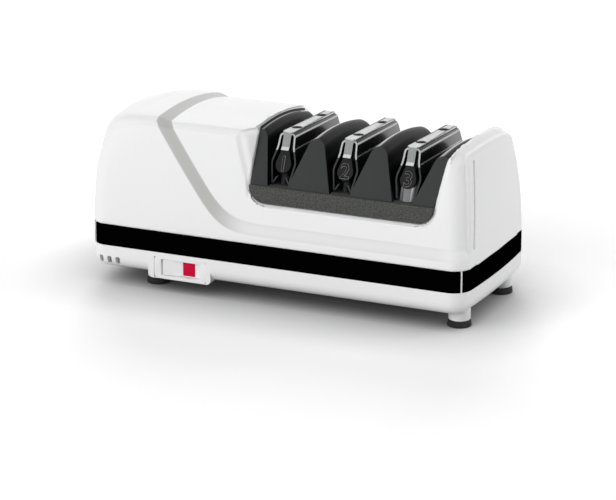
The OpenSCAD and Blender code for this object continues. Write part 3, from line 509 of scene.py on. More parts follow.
def mix_finishes():
    """Mixes every finish of the machine once: name, colour, roughness range, grain, relief and mottle."""
    c = colours()
    FINISH.update({
        # Injection-moulded white ABS: even colour, soft gloss, a faint orange peel in the reflections
        "housing": moulded("white_abs", c.housing, (0.25, 0.28), 4.0, 0.0008, 0.003),
        # The same white ABS with painted shade: a grey along the slope of the step, which fades to a fainter
        # painted shade past the knee
        "shell": moulded("white_abs_painted_step_shade", c.housing, (0.25, 0.28), 4.0, 0.0008, 0.003),
        # Deep black foil on the band: hardly any reflection
        "band": moulded("deep_black_foil", c.band, (0.42, 0.5), 2.0, 0.002, 0.10, shine=0.0),
        # Glass-filled dark nylon: a fine matt grain that breaks up highlights
        "guides": moulded("glass_filled_nylon", c.guides, (0.50, 0.62), 0.7, 0.02, 0.10, shine=0.25),
        # Polished flanks of the guides, worn smooth by blades
        "flank": moulded("polished_nylon_flank", "#060606", (0.30, 0.36), 1.2, 0.006, 0.15, shine=0.12),
        # The left edge of each crest, rubbed to a shine
        "crest": moulded("rubbed_nylon_crest", "#0a0a0a", (0.05, 0.08), 1.2, 0.002, 0.15, coating=1.0),
        # The same nylon from a spark-eroded mould: coarse pits and pale grains
        "apron": moulded("spark_eroded_nylon", c.apron, (0.55, 0.75), 0.9, 0.12, 0.75),
        # Black stoved enamel on spring steel: glossy, with a slight ripple
        "spring": moulded("black_stoved_enamel", c.spring, (0.16, 0.24), 2.4, 0.006, 0.12),
        # Painted highlight: pale metal on the upper cut edges and the top folds of the springs, where light
        # catches them
        "edge": moulded("sheet_edge_painted_highlight", "#bcbdbe", (0.3, 0.45), 0.5, 0.01, 0.15, metallic=0.7),
        # A weaker painted highlight on the lower cut edges and the toes, which lie in more shade
        "dim_painted_highlight_edge": moulded("sheet_edge_dim_painted_highlight", "#303132", (0.35, 0.5), 0.5, 0.01, 0.15, metallic=0.3),
        # Brushed stainless strip: fine lines along its length
        "strip": moulded("brushed_stainless", c.strip, (0.26, 0.46), 0.6, 0.008, 0.22, (1, 0.08, 1),
                         metallic=1.0),
        # The folded tongue of a strip, with its brushing running upright and a darker colour that paints in
        # shade on its front face
        "tongue": moulded("brushed_stainless_painted_shade", "#9b9c9c", (0.30, 0.46), 0.6, 0.008, 0.15,
                          (1, 1, 0.08), metallic=1.0),
        # Black moulded plate, satin
        "plate": moulded("satin_black_abs", c.plate, (0.40, 0.50), 0.6, 0.015, 0.10, shine=0.3),
        # Painted highlight on the bevelled edges of the raised numerals, paler than their plate
        "numeral_painted_highlight": moulded("black_abs_painted_highlight", "#8a8b8c", (0.25, 0.35), 0.5, 0.01, 0.15),
        # Polished and plated steel sleeve: soft grey mirror
        "polished": moulded("polished_steel", "#7b7c7e", (0.16, 0.22), 1.2, 0.002, 0.04, metallic=0.6),
        # Blackened screw steel: dark and without a highlight
        "fastener": moulded("blackened_screw_steel", "#0d0d0e", (0.40, 0.5), 0.4, 0.01, 0.2, shine=0.05),
        # Moulded rubber: dull, with a fine bloom
        "pad": moulded("moulded_rubber", c.rubber, (0.62, 0.78), 0.8, 0.03, 0.18),
        # Crimson moulded rocker half: even colour, little glare
        "red": moulded("crimson_abs", c.red, (0.22, 0.28), 1.5, 0.004, 0.03, shine=0.12),
        # Black thermoset of the switch body: satin
        "switch_black": moulded("black_thermoset", "#1e1e1f", (0.45, 0.55), 0.7, 0.02, 0.12),
        # Ground steel: fine turning marks round the shaft, drawn coarser than real so that they show
        "steel": moulded("ground_steel", "#b9babc", (0.22, 0.34), 0.6, 0.006, 0.06, (1, 0.15, 0.15),
                         metallic=1.0),
        # Stacked motor sheets, drawn as bands of about 1 mm so that they show
        "laminations": moulded("stacked_motor_sheets", "#74777a", (0.40, 0.55), 1.0, 0.04, 0.2,
                               (1, 0.03, 0.03), metallic=0.9),
        # Enamelled copper winding: bands of wire
        "copper": moulded("enamelled_copper_wire", "#a8622b", (0.25, 0.4), 0.8, 0.08, 0.25, (0.05, 1, 1),
                          metallic=0.9),
        # Oil-filled sintered bronze: warm and slightly dull
        "bronze": moulded("sintered_bronze", "#a9854f", (0.35, 0.5), 0.5, 0.02, 0.15, metallic=1.0),
        # Galvanised sheet: soft spangle
        "bracket": moulded("galvanised_sheet", "#a7aaad", (0.35, 0.5), 6.0, 0.01, 0.12, metallic=0.9),
        # Natural nylon fan: cream, satin
        "fan": moulded("natural_nylon", "#e6e0d0", (0.4, 0.5), 1.0, 0.01, 0.03),
        # Diamond grit bonded to a steel cone: sparkling grains, drawn about 0.4 mm wide so that they show
        "diamond": moulded("bonded_diamond_grit", "#77797c", (0.30, 0.65), 0.4, 0.08, 0.45, metallic=0.5),
        # Flexible stropping disc: matt abrasive-filled polymer
        "strop": moulded("abrasive_polymer", "#8b6a4a", (0.6, 0.75), 0.6, 0.05, 0.2),
        # Ferrite magnet: dull and fine-grained
        "magnet": moulded("sintered_ferrite", "#3e3f43", (0.55, 0.7), 0.5, 0.03, 0.15),
    })
    grey_shoulder(FINISH["shell"].node_tree)


def blend(low, high, value):
    """A smooth run from 0 to 1."""
    t = min(max((value - low) / (high - low), 0.0), 1.0)
    return t * t * (3 - 2 * t)


def sag(run, radius):
    """How far an arc falls over a run from its highest point."""
    return radius - math.sqrt(max(radius * radius - run * run, 0.0))


def bow(z, radius):
    """How far a bowed face of the housing draws in at a height."""
    return sag(max(z - sizes().house_foot, 0.0), radius)


def stage_x(k):
    """Middle of a sharpening stage, counted from 0."""
    s = sizes()
    return s.stage_first + k * s.stage_pitch


def foot_places():
    """Middles of the four feet."""
    low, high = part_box("foot_pads")
    radius = sizes().pad_radius
    return [(x, y) for x in (low.x + radius, high.x - radius) for y in (low.y + radius, high.y - radius)]


def rounded_block(name, foot, top, segments):
    """A box over the whole plan of the machine, with rounded upright corners."""
    s = sizes()
    half_x = HALF_X - s.end_bulge
    piece = block(name, (-half_x, -HALF_Y, foot), (half_x, HALF_Y, top))
    soften(piece, lambda e: along(e, Z), s.corner, segments)
    return piece


def swollen(co):
    """Swells the ends between their corners."""
    s = sizes()
    share = min(abs(co.y) / (HALF_Y - s.corner), 1.0)
    base = HALF_X - s.end_bulge
    return Vector((co.x * (base + s.end_bulge * (1 - share * share)) / base, co.y, co.z))


def crown_height(y):
    """Height of the crowned top, front to back."""
    s = sizes()
    return HOUSE_TOP - (y - s.crown_middle) ** 2 / (2 * s.crown)


def bowed(co):
    """Bows the faces of a straight block and crowns its top."""
    s = sizes()
    co = swollen(co)
    rise = max(co.z - s.house_foot, 0.0)
    y = co.y * (1 - bow(co.z, s.face_bow) / HALF_Y)
    x = co.x * (1 - bow(co.z, s.end_bow) / HALF_X)
    drop = (y - s.crown_middle) ** 2 / (2 * s.crown)
    return Vector((x, y, co.z - drop * rise / (HOUSE_TOP - s.house_foot)))


def step_distance(co):
    """How far a point lies past the middle line of the step, with its knee rounded."""
    s = sizes()
    line_x = s.step_x + max(crown_height(-HALF_Y) - co.z, 0.0) / math.tan(s.step_slope)
    past_slope = (co.x - line_x) * math.sin(s.step_slope)
    above = co.z - s.step_height
    knee = s.step_knee
    if past_slope < knee and above < knee:
        return knee - math.hypot(knee - past_slope, knee - above)
    return min(past_slope, above)


def skin_depth(co):
    """How deep a point lies under the outer form of the housing."""
    s = sizes()
    over_x = abs(co.x) - (HALF_X - s.end_bulge - bow(co.z, s.end_bow) - s.corner)
    over_y = abs(co.y) - (HALF_Y - bow(co.z, s.face_bow) - s.corner)
    if over_x > 0.0 and over_y > 0.0:
        side = s.corner - math.hypot(over_x, over_y)
    else:
        side = s.corner - max(over_x, over_y)
    return min(side, crown_height(co.y) - co.z)


def on_skin(co):
    """1 on the outer skin of the housing, and 0 inside it."""
    return blend(5 * MM, 2 * MM, skin_depth(co))


def step_share(vertex):
    """How far a vertex of the housing is drawn in by the step, which stops at the end panel."""
    s = sizes()
    share = on_skin(vertex.co) * blend(-s.step_width / 2, s.step_width / 2, step_distance(vertex.co))
    if vertex.co.x > s.cut_right:
        # The end panel looks along the machine and not upwards
        normal = vertex.normal
        endward = normal.x / max(math.hypot(normal.x, normal.y), NEAR)
        share *= 1 - blend(0.955, 0.98, endward) * blend(0.6, 0.45, normal.z)
    return share


def roll_share(vertex):
    """How far a vertex belongs to the rolled top edge, which looks neither out nor straight up."""
    rise = vertex.normal.z
    return on_skin(vertex.co) * blend(0.3, 0.42, rise) * blend(0.98, 0.8, rise)


def end_reach(co):
    """How far an end reaches from the middle at a point's height and depth."""
    s = sizes()
    straight = HALF_Y - s.corner
    over = min(max(abs(co.y) - straight + bow(co.z, s.face_bow), 0.0) / s.corner, 0.98)
    swell = s.end_bulge * min(abs(co.y) / straight, 1.0) ** 2
    return HALF_X - swell - bow(co.z, s.end_bow) - s.corner * (1 - math.sqrt(1 - over * over))


def squared(z):
    """How far the fin's end stands out from the common bow of the ends at a height."""
    s = sizes()
    return bow(z, s.end_bow) - bow(z, s.fin_bow)


def eased(co):
    """Eases the top down at both ends, and raises and squares up the fin."""
    s = sizes()
    gap = max(end_reach(co) - abs(co.x), 0.0)
    foot = HOUSE_TOP - 40 * MM
    if co.x < s.cut_left:
        drop = s.end_drop * max(1 - gap / s.end_ease, 0.0) ** 2
        return Vector((co.x, co.y, co.z - drop * blend(foot, HOUSE_TOP - 5 * MM, co.z)))
    fin = blend(s.cut_right - 4 * MM, s.cut_right + 4 * MM, co.x)
    out = squared(co.z) * blend(HALF_X - 24 * MM, HALF_X - 10 * MM, co.x)
    lift = s.fin_lift - s.fin_fall * blend(20 * MM, 48 * MM, co.y)
    drop = s.fin_drop * max(1 - gap / s.fin_ease, 0.0) ** 2
    upper = blend(foot, HOUSE_TOP - 6 * MM, co.z)
    return Vector((co.x + out, co.y, co.z + fin * (lift - drop) * upper))


def wall_lean(z):
    """How far the cut-out's right wall leans out at a height."""
    s = sizes()
    return (z - s.cut_foot - s.cut_corner) * math.tan(s.cut_lean)


def wall_share(vertex):
    """How far a vertex belongs to the soft lips of the cut-out's side walls."""
    s = sizes()
    co = vertex.co
    rise = blend(s.cut_foot + 2 * MM, s.cut_foot + 16 * MM, co.z)
    lip = blend(30 * MM, 42 * MM, abs(co.y))
    below_top = blend(8 * MM, 16 * MM, HOUSE_TOP - co.z)
    far, close, whole_wall = 9 * MM, 4 * MM, 0.3
    left = blend(far, close, abs(co.x - s.cut_left))
    right = blend(far, close, abs(co.x - s.cut_right - wall_lean(co.z)))
    return rise * max(left * lip, right * max(lip * below_top, whole_wall))


def lipped(co):
    """Draws the lips of the cut-out's side walls back from the long faces, more so higher up."""
    s = sizes()
    rise = blend(s.cut_foot + 4 * MM, HOUSE_TOP, co.z)
    left_past, left_width = s.cut_left - co.x, (2 + 12 * rise) * MM
    right_past, right_width = co.x - s.cut_right - wall_lean(co.z), (2 + 3 * rise) * MM
    limit, slant, curl = HALF_Y, 0.7, 1.5
    for past, width in ((left_past, left_width), (right_past, right_width)):
        if rise > 0.0 and -2 * MM < past < width:
            share = 1 - max(past, 0.0) / width
            limit = min(limit, HALF_Y - bow(co.z, s.face_bow) - slant * width * share ** curl)
    return Vector((co.x, min(max(co.y, -limit), limit), co.z))


def paint(piece, name, rule):
    """Weights the vertices of a piece by a rule, as a group."""
    group = piece.vertex_groups.new(name=name)
    for vertex in piece.data.vertices:
        share = rule(vertex)
        if share > 0.0:
            group.add([vertex.index], share, "REPLACE")
    return group.name


class SHARPENER_OT_housing(bpy.types.Operator):
    """Model the white housing with its bowed faces, step and cut-out"""

    bl_idname = "sharpener.housing"
    bl_label = "Housing"

    def stage_cut(self):
        """The cut-out over the stages, with round lower corners and a leaning right wall."""
        s = sizes()
        high, reach = HOUSE_TOP + 20 * MM, 200 * MM
        notch = block("stage_cut", (s.cut_left, -reach, s.cut_foot), (s.cut_right, reach, high))
        soften(notch, lambda e: along(e, Y) and level(e, Z, s.cut_foot), width=s.cut_corner, segments=10)
        choose(notch, "VERT", lambda v: v.co.z > high - NEAR and v.co.x > 0)
        bpy.ops.transform.translate(value=(wall_lean(high), 0, 0))
        return notch

    def hollow_body(self):
        """The bowed body, cut open over the stages and hollowed for the motor and the discs."""
        s = sizes()
        foot, top = s.house_foot, HOUSE_TOP
        shell = rounded_block("upper_housing_shell", foot, top, 12)
        soften(shell, lambda e: level(e, Z, top), width=s.top_roll, segments=8)
        slice_at(shell, Z, [foot + k * 4 * MM for k in range(1, 17)])
        slice_at(shell, Y, ROWS)
        slice_at(shell, X, [k * 16 * MM for k in range(-7, 8)])
        reshape(shell, bowed)
        below = foot - 5 * MM
        motor_wall, motor_half, motor_roof = 14 * MM, 36 * MM, 15 * MM
        room = block("motor_room", (-HALF_X + motor_wall, -motor_half, below),
                     (s.cut_left - 6 * MM, motor_half, top - motor_roof))
        fin_wall, disc_half = 6 * MM, 42 * MM
        pit = block("disc_room", (s.cut_left - 7 * MM, -disc_half, below),
                    (HALF_X - fin_wall, disc_half, s.cut_foot + 2 * MM))
        cut(shell, room, pit, self.stage_cut())
        return shell

    def panel_gap(self):
        """A thin upright blade that cuts the gap in front of the end panel."""
        s = sizes()
        foot, high = s.step_height + 2 * MM, HOUSE_TOP - 9 * MM
        half, rows = 1 * MM, 14
        gap = block("panel_gap", (0, -half, foot), (10 * MM, half, high))
        slice_at(gap, Z, [foot + k * (high - foot) / rows for k in range(1, rows)])

        def follow(co):
            margin = 1.5 * MM + 0.05 * (co.z - s.house_foot)
            edge = HALF_Y - bow(co.z, s.face_bow) - s.corner - margin
            skin = end_reach(Vector((co.x, edge, co.z))) + squared(co.z)
            return Vector((skin - s.panel_groove + co.x, co.y - edge, co.z))

        reshape(gap, follow)
        return gap

    def execute(self, context):
        s = sizes()
        foot = s.house_foot
        shell = self.hollow_body()
        finish_with(shell, "REMESH", mode="VOXEL", voxel_size=1.0 * MM)
        body = paint(shell, "body", lambda v: blend(foot, foot + 4 * MM, v.co.z))
        relax(shell, body, passes=10)
        reshape(shell, eased)
        end = paint(shell, "end", lambda v: blend(-HALF_X + 30 * MM, -HALF_X + 18 * MM, v.co.x))
        relax(shell, end, passes=3)
        wall = paint(shell, "wall", wall_share)
        relax(shell, wall, passes=40)
        reshape(shell, lipped)
        relax(shell, wall, passes=12)
        step = paint(shell, "step", step_share)
        roll = paint(shell, "roll", roll_share)
        sink(shell, step, s.step_depth)
        sink(shell, roll, s.roll_set)
        shell.vertex_groups.clear()
        cut(shell, self.panel_gap())
        inside = 4.5 * MM
        choose(shell, "FACE", lambda f: max(map(abs, f.normal)) > 0.9999
               and skin_depth(f.calc_center_median()) > inside)
        bpy.ops.mesh.dissolve_limited(angle_limit=math.radians(2))
        hold(shell)
        bpy.ops.object.shade_smooth()
        # The shell's finish carries painted shade along the step
        coat(shell, FINISH["shell"])
        place(shell, "root", "upper_housing")
        return {"FINISHED"}


class SHARPENER_OT_base(bpy.types.Operator):
    """Model the base with its rim, legs, air slots and openings"""

    bl_idname = "sharpener.base"
    bl_label = "Base"

    def tray(self):
        """The tray, with its round foot and the rim that the housing sits on."""
        s = sizes()
        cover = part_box("clean_out_cover")
        foot, rim_top = cover[0].z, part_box("base_tray")[1].z
        foot_round, ledge, rim = 8 * MM, 2.7 * MM, 2 * MM
        tray = rounded_block("base_tray_shell", foot, s.band_foot, 12)
        soften(tray, lambda e: level(e, Z, foot), width=foot_round, segments=8)
        choose(tray, "FACE", lambda f: f.normal.z > FACING)
        bpy.ops.mesh.inset(thickness=ledge)
        draw_out(0, 0, rim_top - s.band_foot)
        bpy.ops.mesh.inset(thickness=rim)
        draw_out(0, 0, cover[1].z - rim_top)
        slice_at(tray, Y, ROWS)
        reshape(tray, swollen)
        tidy(tray)
        return tray

    def legs(self):
        """The four legs that carry the feet."""
        foot, tall, radius = sizes().pad_height, 8.4 * MM, 6.75 * MM
        legs = []
        for x, y in foot_places():
            leg = rod("leg", (x, y, foot + tall / 2), radius, tall)
            soften(leg, lambda e: level(e, Z, foot), width=0.8 * MM, segments=3)
            legs.append(leg)
        return legs

    def switch_lip(self):
        """The thicker wall round the switch."""
        low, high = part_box("switch_frame")
        left, right, below, deep = 4 * MM, 3 * MM, 0.5 * MM, 9.5 * MM
        lip = block("switch_lip", (low.x - left, -HALF_Y, low.z - below),
                    (high.x + right, -HALF_Y + deep, sizes().band_foot - MM))
        soften(lip, lambda e: along(e, Y), width=3 * MM, segments=6)
        return lip

    def seam_ribs(self):
        """Thin ribs that fill the seam between the two bands, on both front corners."""
        s = sizes()
        seam = (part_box("front_band")[1].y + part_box("rear_band")[0].y) / 2
        corner_x = HALF_X - s.end_bulge - s.corner
        out = HALF_Y - s.corner + seam
        rib_x = corner_x + math.sqrt(s.corner ** 2 - out ** 2)
        swing = math.atan2(rib_x - corner_x, -out)
        half, proud, deep = 0.4 * MM, 0.05 * MM, 4 * MM
        ribs = []
        for side in (-1, 1):
            rib = block("seam_rib", (side * rib_x - half, seam - proud, s.band_foot - MM),
                        (side * rib_x + half, seam + deep, s.house_foot))
            turned(rib, side * swing, "Z", (side * rib_x, seam, 0))
            ribs.append(rib)
        return ribs

    def air_slots(self):
        """Cutters for the three slots at the left of the front."""
        first, pitch, half, low, high = 10.3 * MM, 5.8 * MM, 1.45 * MM, 13.6 * MM, 18.4 * MM
        slots = []
        for k in range(3):
            x = -HALF_X + first + k * pitch
            slot = block("slot", (x - half, -HALF_Y - 2 * MM, low), (x + half, -HALF_Y + 8 * MM, high))
            soften(slot, lambda e: along(e, Y), width=0.9 * MM, segments=4)
            slots.append(slot)
        return slots

    def openings(self):
        """Cutters for the switch, its frame's seat, the clean-out cover and the cord inlet."""
        low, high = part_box("switch_frame")
        ahead, side, edge = -HALF_Y - 2 * MM, 2 * MM, 1.5 * MM
        bay = block("bay", (low.x + side, ahead, low.z + edge),
                    (high.x - side, -HALF_Y + 12 * MM, high.z - edge))
        seat = block("seat", (low.x, ahead, low.z), (high.x, -HALF_Y + 2 * MM, high.z))
        low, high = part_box("clean_out_cover")
        play = 0.3 * MM
        hatch = block("hatch", (low.x - play, low.y - play, low.z - 2 * MM),
                      (high.x + play, high.y + play, low.z + 6 * MM))
        low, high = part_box("cord_inlet")
        mouth = ((low.x + high.x) / 2, HALF_Y, (low.z + high.z) / 2)
        port = rod("port", mouth, radius=5.6 * MM, depth=24 * MM, turn=LYING_Y)
        return [bay, seat, hatch, port]

    def execute(self, context):
        tray = self.tray()
        fuse(tray, self.switch_lip(), *self.seam_ribs(), *self.legs())
        cut(tray, *self.air_slots(), *self.openings())
        dress(tray, "housing", "base_tray", degrees=32)
        return {"FINISHED"}


class SHARPENER_OT_bands(bpy.types.Operator):
    """Model the black band: one piece across the front and one round the ends and back"""

    bl_idname = "sharpener.bands"
    bl_label = "Bands"

    def execute(self, context):
        s = sizes()
        ring = rounded_block("front_band_trim", s.band_foot, s.house_foot, 14)
        hollow(ring, Z, wall=2.6 * MM)
        slice_at(ring, Y, ROWS)
        reshape(ring, swollen)
        tidy(ring)
        rear = copied(ring, "rear_band_trim", (0, 0, 0))
        trim(ring, (0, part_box("front_band")[1].y, 0), (0, 1, 0))
        trim(rear, (0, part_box("rear_band")[0].y, 0), (0, -1, 0))
        for piece, node in ((ring, "front_band"), (rear, "rear_band")):
            tidy(piece)
            ease_folds(piece, width=0.35 * MM, segments=2)
            dress(piece, "band", node, degrees=30)
        return {"FINISHED"}


class SHARPENER_OT_feet(bpy.types.Operator):
    """Model the four rubber feet"""

    bl_idname = "sharpener.feet"
    bl_label = "Feet"

    def execute(self, context):
        s = sizes()
        top, taper = s.pad_height, 0.93
        pads = []
        for x, y in foot_places():
            pad = rod("pad", (x, y, top / 2), s.pad_radius, top)
            choose(pad, "FACE", lambda f: f.normal.z > FACING)
            bpy.ops.transform.resize(value=(taper, taper, 1), center_override=(x, y, top))
            soften(pad, lambda e: level(e, Z, 0) or level(e, Z, top), width=0.7 * MM, segments=3)
            choose(pad, "FACE", lambda f: f.normal.z < -0.999)
            bpy.ops.mesh.inset(thickness=1.6 * MM)
            draw_out(0, 0, 0.8 * MM)
            pads.append(pad)
        dress(gather("rubber_feet", pads), "pad", "foot_pads")
        return {"FINISHED"}


class SHARPENER_OT_aprons(bpy.types.Operator):
    """Model the grained aprons under the ridges, front and back"""

    bl_idname = "sharpener.aprons"
    bl_label = "Aprons"

    def execute(self, context):
        s = sizes()
        corner, set_back = 10.4 * MM, 0.9 * MM
        for node, side in (("front_apron", -1), ("rear_apron", 1)):
            low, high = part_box(node)
            outer = low.y if side < 0 else high.y
            piece = block(node + "_board", (s.cut_left, low.y, s.cut_foot), (s.cut_right, high.y, s.deck))
            soften(piece, lambda e: along(e, Y) and level(e, Z, s.cut_foot), width=corner, segments=10)
            choose(piece, "VERT", lambda v: v.co.z > s.deck - NEAR and abs(v.co.y - outer) < NEAR)
            bpy.ops.transform.translate(value=(0, -side * set_back, 0))
            ease_folds(piece, width=0.5 * MM, segments=3)
            dress(piece, "apron", node)
        return {"FINISHED"}


class SHARPENER_OT_ridges(bpy.types.Operator):
    """Model the four ridges that guide the blade"""

    bl_idname = "sharpener.ridges"
    bl_label = "Ridges"

    def model(self, rise, upper):
        """One ridge on its foot, arched along its back and rounded along its crest."""
        s = sizes()
        foot_half = s.ridge_peak + rise * math.tan(s.guide_angle)
        reach = s.ridge_reach - rise * math.tan(s.ridge_lean)
        model = block("ridge_model", (-foot_half, -s.ridge_reach, s.deck),
                      (foot_half, s.ridge_reach, s.ridge_top))
        choose(model, "FACE", lambda f: f.normal.z > FACING)
        bpy.ops.transform.resize(value=(s.ridge_peak / foot_half, reach / s.ridge_reach, 1),
                                 center_override=(0, 0, s.ridge_top))
        rows = [k * reach / 6 for k in range(-5, 6)]
        slice_at(model, Y, rows)
        for row in rows + [-reach, reach]:
            choose(model, "VERT", lambda v: abs(v.co.y - row) < NEAR and v.co.z > s.ridge_top - NEAR)
            bpy.ops.transform.translate(value=(0, 0, -sag(row - s.ridge_middle, s.ridge_arch)))

        def on_crest(e):
            start, end = (v.co for v in e.verts)
            folded = e.is_manifold and e.calc_face_angle(0) > 0.6
            return folded and min(start.z, end.z) > upper and abs(start.x - end.x) < NEAR

        soften(model, on_crest, width=3.9 * MM, segments=6)
        ease_folds(model, width=0.45 * MM, segments=3, degrees=40)
        return model

    def broaden(self, piece, rise, upper):
        """Makes the left ridge broader and taller, with a raised edge along the cut-out's wall."""
        s = sizes()
        broad, tall = 3.6 * MM / rise, 1 + 2 * MM / rise
        wall = s.cut_left + 0.1 * MM
        reshape(piece, lambda co: Vector((co.x + broad * (co.z - s.deck), co.y,
                                          s.deck + tall * (co.z - s.deck))))
        trim(piece, (wall, 0, 0), (-1, 0, 0))
        choose(piece, "VERT", lambda v: v.co.x < wall + 0.1 * MM and v.co.z > upper)
        bpy.ops.transform.translate(value=(0, 0, 1.3 * MM))

    def lower(self, piece):
        """Makes the right ridge lower and trims it to the cut-out's leaning wall."""
        s = sizes()
        reshape(piece, lambda co: Vector((co.x, co.y, s.deck + 0.95 * (co.z - s.deck))))
        trim(piece, (s.cut_right - 0.1 * MM, 0, s.cut_foot + s.cut_corner),
             (math.cos(s.cut_lean), 0, -math.sin(s.cut_lean)))

    def execute(self, context):
        s = sizes()
        rise = s.ridge_top - s.deck
        upper = s.deck + 0.7 * rise
        sideways, upwards = 0.35, 0.5
        model = self.model(rise, upper)
        for k, name in enumerate(("ridge_left", "ridge_1_2", "ridge_2_3", "ridge_right")):
            piece = copied(model, name + "_guide", (stage_x(k - 0.5), 0, 0))
            bright = -0.08
            if name == "ridge_left":
                self.broaden(piece, rise, upper)
                bright = 0.35
            if name == "ridge_right":
                self.lower(piece)
            tidy(piece)
            coat(piece, FINISH["guides"], FINISH["flank"], FINISH["crest"])
            assign(piece, 1, lambda f: abs(f.normal.y) < sideways)
            assign(piece, 2, lambda f: abs(f.normal.y) < sideways and f.normal.z > upwards
                   and f.normal.x < bright)
            smooth(piece)
            place(piece, "root", name)
        bpy.data.objects.remove(model)
        return {"FINISHED"}


def lean_reach(z):
    """Half of the depth of the springs at a height."""
    s = sizes()
    return s.strip_reach + (STRIP_TOP - z) * math.tan(s.spring_lean)


def tipped(piece):
    """Tips the upper end of a spring, strip or plate to the back."""
    s = sizes()

    def tip(co):
        share = min(max((co.z - s.deck) / (STRIP_TOP - s.deck), 0.0), 1.0)
        return Vector((co.x, co.y, co.z + share * (s.tip_lift - co.y * math.tan(s.tip))))

    reshape(piece, tip)


class SHARPENER_OT_springs(bpy.types.Operator):
    """Model the folded guide springs"""

    bl_idname = "sharpener.springs"
    bl_label = "Guide springs"

    def model(self, neck):
        """One spring, folded down from its top on both sides and arched over the discs."""
        s = sizes()
        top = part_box("guide_spring_1")[1].z
        half_top, half_neck, half_mid, half_foot = 5.1 * MM, 5.8 * MM, 8.5 * MM, 6.2 * MM
        shoulder, foot = 88 * MM, 76.4 * MM
        reach = lean_reach(top)
        clear_choice()
        bpy.ops.mesh.primitive_plane_add(size=1, location=(0, 0, top), scale=(2 * half_top, 2 * reach, 1))
        model = keep(bpy.context.object, "spring_model")
        reshape(model, lambda co: Vector((math.copysign(half_top, co.x), math.copysign(reach, co.y), top)))
        for side in (-1, 1):
            x, z = side * half_top, top
            for half, next_z in ((half_neck, neck), (half_mid, shoulder), (half_foot, foot)):
                next_x = side * half
                choose(model, "EDGE", lambda e: level(e, X, x) and level(e, Z, z))
                draw_out(next_x - x, 0, next_z - z)
                bpy.ops.transform.resize(value=(1, lean_reach(next_z) / lean_reach(z), 1),
                                         center_override=(next_x, 0, next_z))
                x, z = next_x, next_z
        for fold, radius, segments in ((top, 2.2 * MM, 6), (neck, 1.6 * MM, 4), (shoulder, 1.6 * MM, 4)):
            soften(model, lambda e: along(e, Y) and len(e.link_faces) == 2 and level(e, Z, fold),
                   radius, segments)
        choose(model, "FACE", anything)
        bpy.ops.mesh.normals_make_consistent(inside=False)
        hold(model)
        if max(model.data.polygons, key=lambda f: f.center.z).normal.z < 0:
            choose(model, "FACE", anything)
            bpy.ops.mesh.flip_normals()
        finish_with(model, "SOLIDIFY", thickness=s.sheet, offset=-1.0, use_even_offset=True)
        tipped(model)
        shaft_z, disc_room = 58 * MM, 26.6 * MM
        cut(model, rod("arch", (0, 0, shaft_z), disc_room, 60 * MM, LYING_X, 64))
        return model

    def hook(self, x, side):
        """The turned-in toe at the front of a spring's leg."""
        foot, tall, half, deep = 76.6 * MM, 4 * MM, 0.6 * MM, 1.5 * MM
        start, turn_in, set_back = 5.3 * MM, 0.6, 1.6 * MM
        hook = block("spring_hook", (-half, -deep, foot), (half, deep, foot + tall))
        ease_folds(hook, width=0.25 * MM, segments=2, degrees=40)
        reshape(hook, lambda co: Vector((x + side * (start - turn_in * (co.z - foot)) + co.x,
                                         set_back - lean_reach(co.z) + co.y, co.z)))
        # The toe takes the weaker painted highlight
        coat(hook, FINISH["dim_painted_highlight_edge"])
        smooth(hook)
        return hook

    def execute(self, context):
        neck, cut_edge = 96 * MM, 0.75
        bright_z = neck - 0.5 * MM
        model = self.model(neck)

        # Faces that take the painted highlight: the cut edges and the side folds above the neck
        def worn(f):
            fold = 0.2 < f.normal.z < 0.6 and abs(f.normal.x) > cut_edge
            return f.calc_center_median().z > bright_z and (abs(f.normal.y) > cut_edge or fold)

        for k in range(3):
            piece = copied(model, f"guide_spring_{k + 1}_clip", (stage_x(k), 0, 0))
            ease_folds(piece, width=0.22 * MM, segments=2, degrees=45)
            tidy(piece)
            coat(piece, FINISH["spring"], FINISH["edge"], FINISH["dim_painted_highlight_edge"])
            assign(piece, 2, lambda f: abs(f.normal.y) > cut_edge)
            assign(piece, 1, worn)
            smooth(piece)
            if k < 2:
                piece = gather(piece.name, [piece] + [self.hook(stage_x(k), side) for side in (-1, 1)])
            place(piece, "root", f"guide_spring_{k + 1}")
        bpy.data.objects.remove(model)
        return {"FINISHED"}


class SHARPENER_OT_strips(bpy.types.Operator):
    """Model the top strips with their holes and folded tongues"""

    bl_idname = "sharpener.strips"
    bl_label = "Top strips"

    def model(self):
        """One strip, with its tongue folded down in front and flared at its end."""
        s = sizes()
        low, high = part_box("top_strip_1")
        under = high.z - s.strip_sheet
        tongue_half, flare, flare_lean = 2.5 * MM, 1.7 * MM, 0.95
        model = block("strip_model", (-s.strip_half, -s.strip_reach, under),
                      (s.strip_half, s.strip_reach, high.z))
        slice_at(model, X, [-tongue_half, tongue_half])
        choose(model, "FACE", lambda f: f.normal.y < -FACING and abs(f.calc_center_median().x) < tongue_half)
        draw_out(0, -s.strip_sheet, 0)
        fall = under - low.z - flare
        for drop, lean in ((fall, math.tan(s.spring_lean)), (flare, flare_lean)):
            choose(model, "FACE", lambda f: f.normal.z < -FACING
                   and f.calc_center_median().y < -s.strip_reach)
            draw_out(0, -drop * lean, -drop)
        for y in (-s.screw_reach, s.screw_reach):
            cut(model, rod("hole", (0, y, under), radius=3.4 * MM, depth=6 * MM))
        fold_y = -s.strip_reach - s.strip_sheet
        soften(model, lambda e: along(e, Z) and level(e, Y, s.strip_reach), width=1.2 * MM, segments=4)
        soften(model, lambda e: level(e, Z, high.z) and level(e, Y, fold_y), width=0.8 * MM, segments=4)
        tipped(model)
        return model

    def execute(self, context):
        model = self.model()
        for k in range(3):
            piece = copied(model, f"top_strip_{k + 1}_plate", (stage_x(k), 0, 0))
            ease_folds(piece, width=0.18 * MM, segments=2, degrees=45)
            smooth(piece, degrees=35)
            coat(piece, FINISH["strip"], FINISH["tongue"])
            # The tongue's front faces get the darker colour, which is painted shade
            assign(piece, 1, lambda f: f.normal.y < -0.85)
            place(piece, "root", f"top_strip_{k + 1}")
        bpy.data.objects.remove(model)
        return {"FINISHED"}


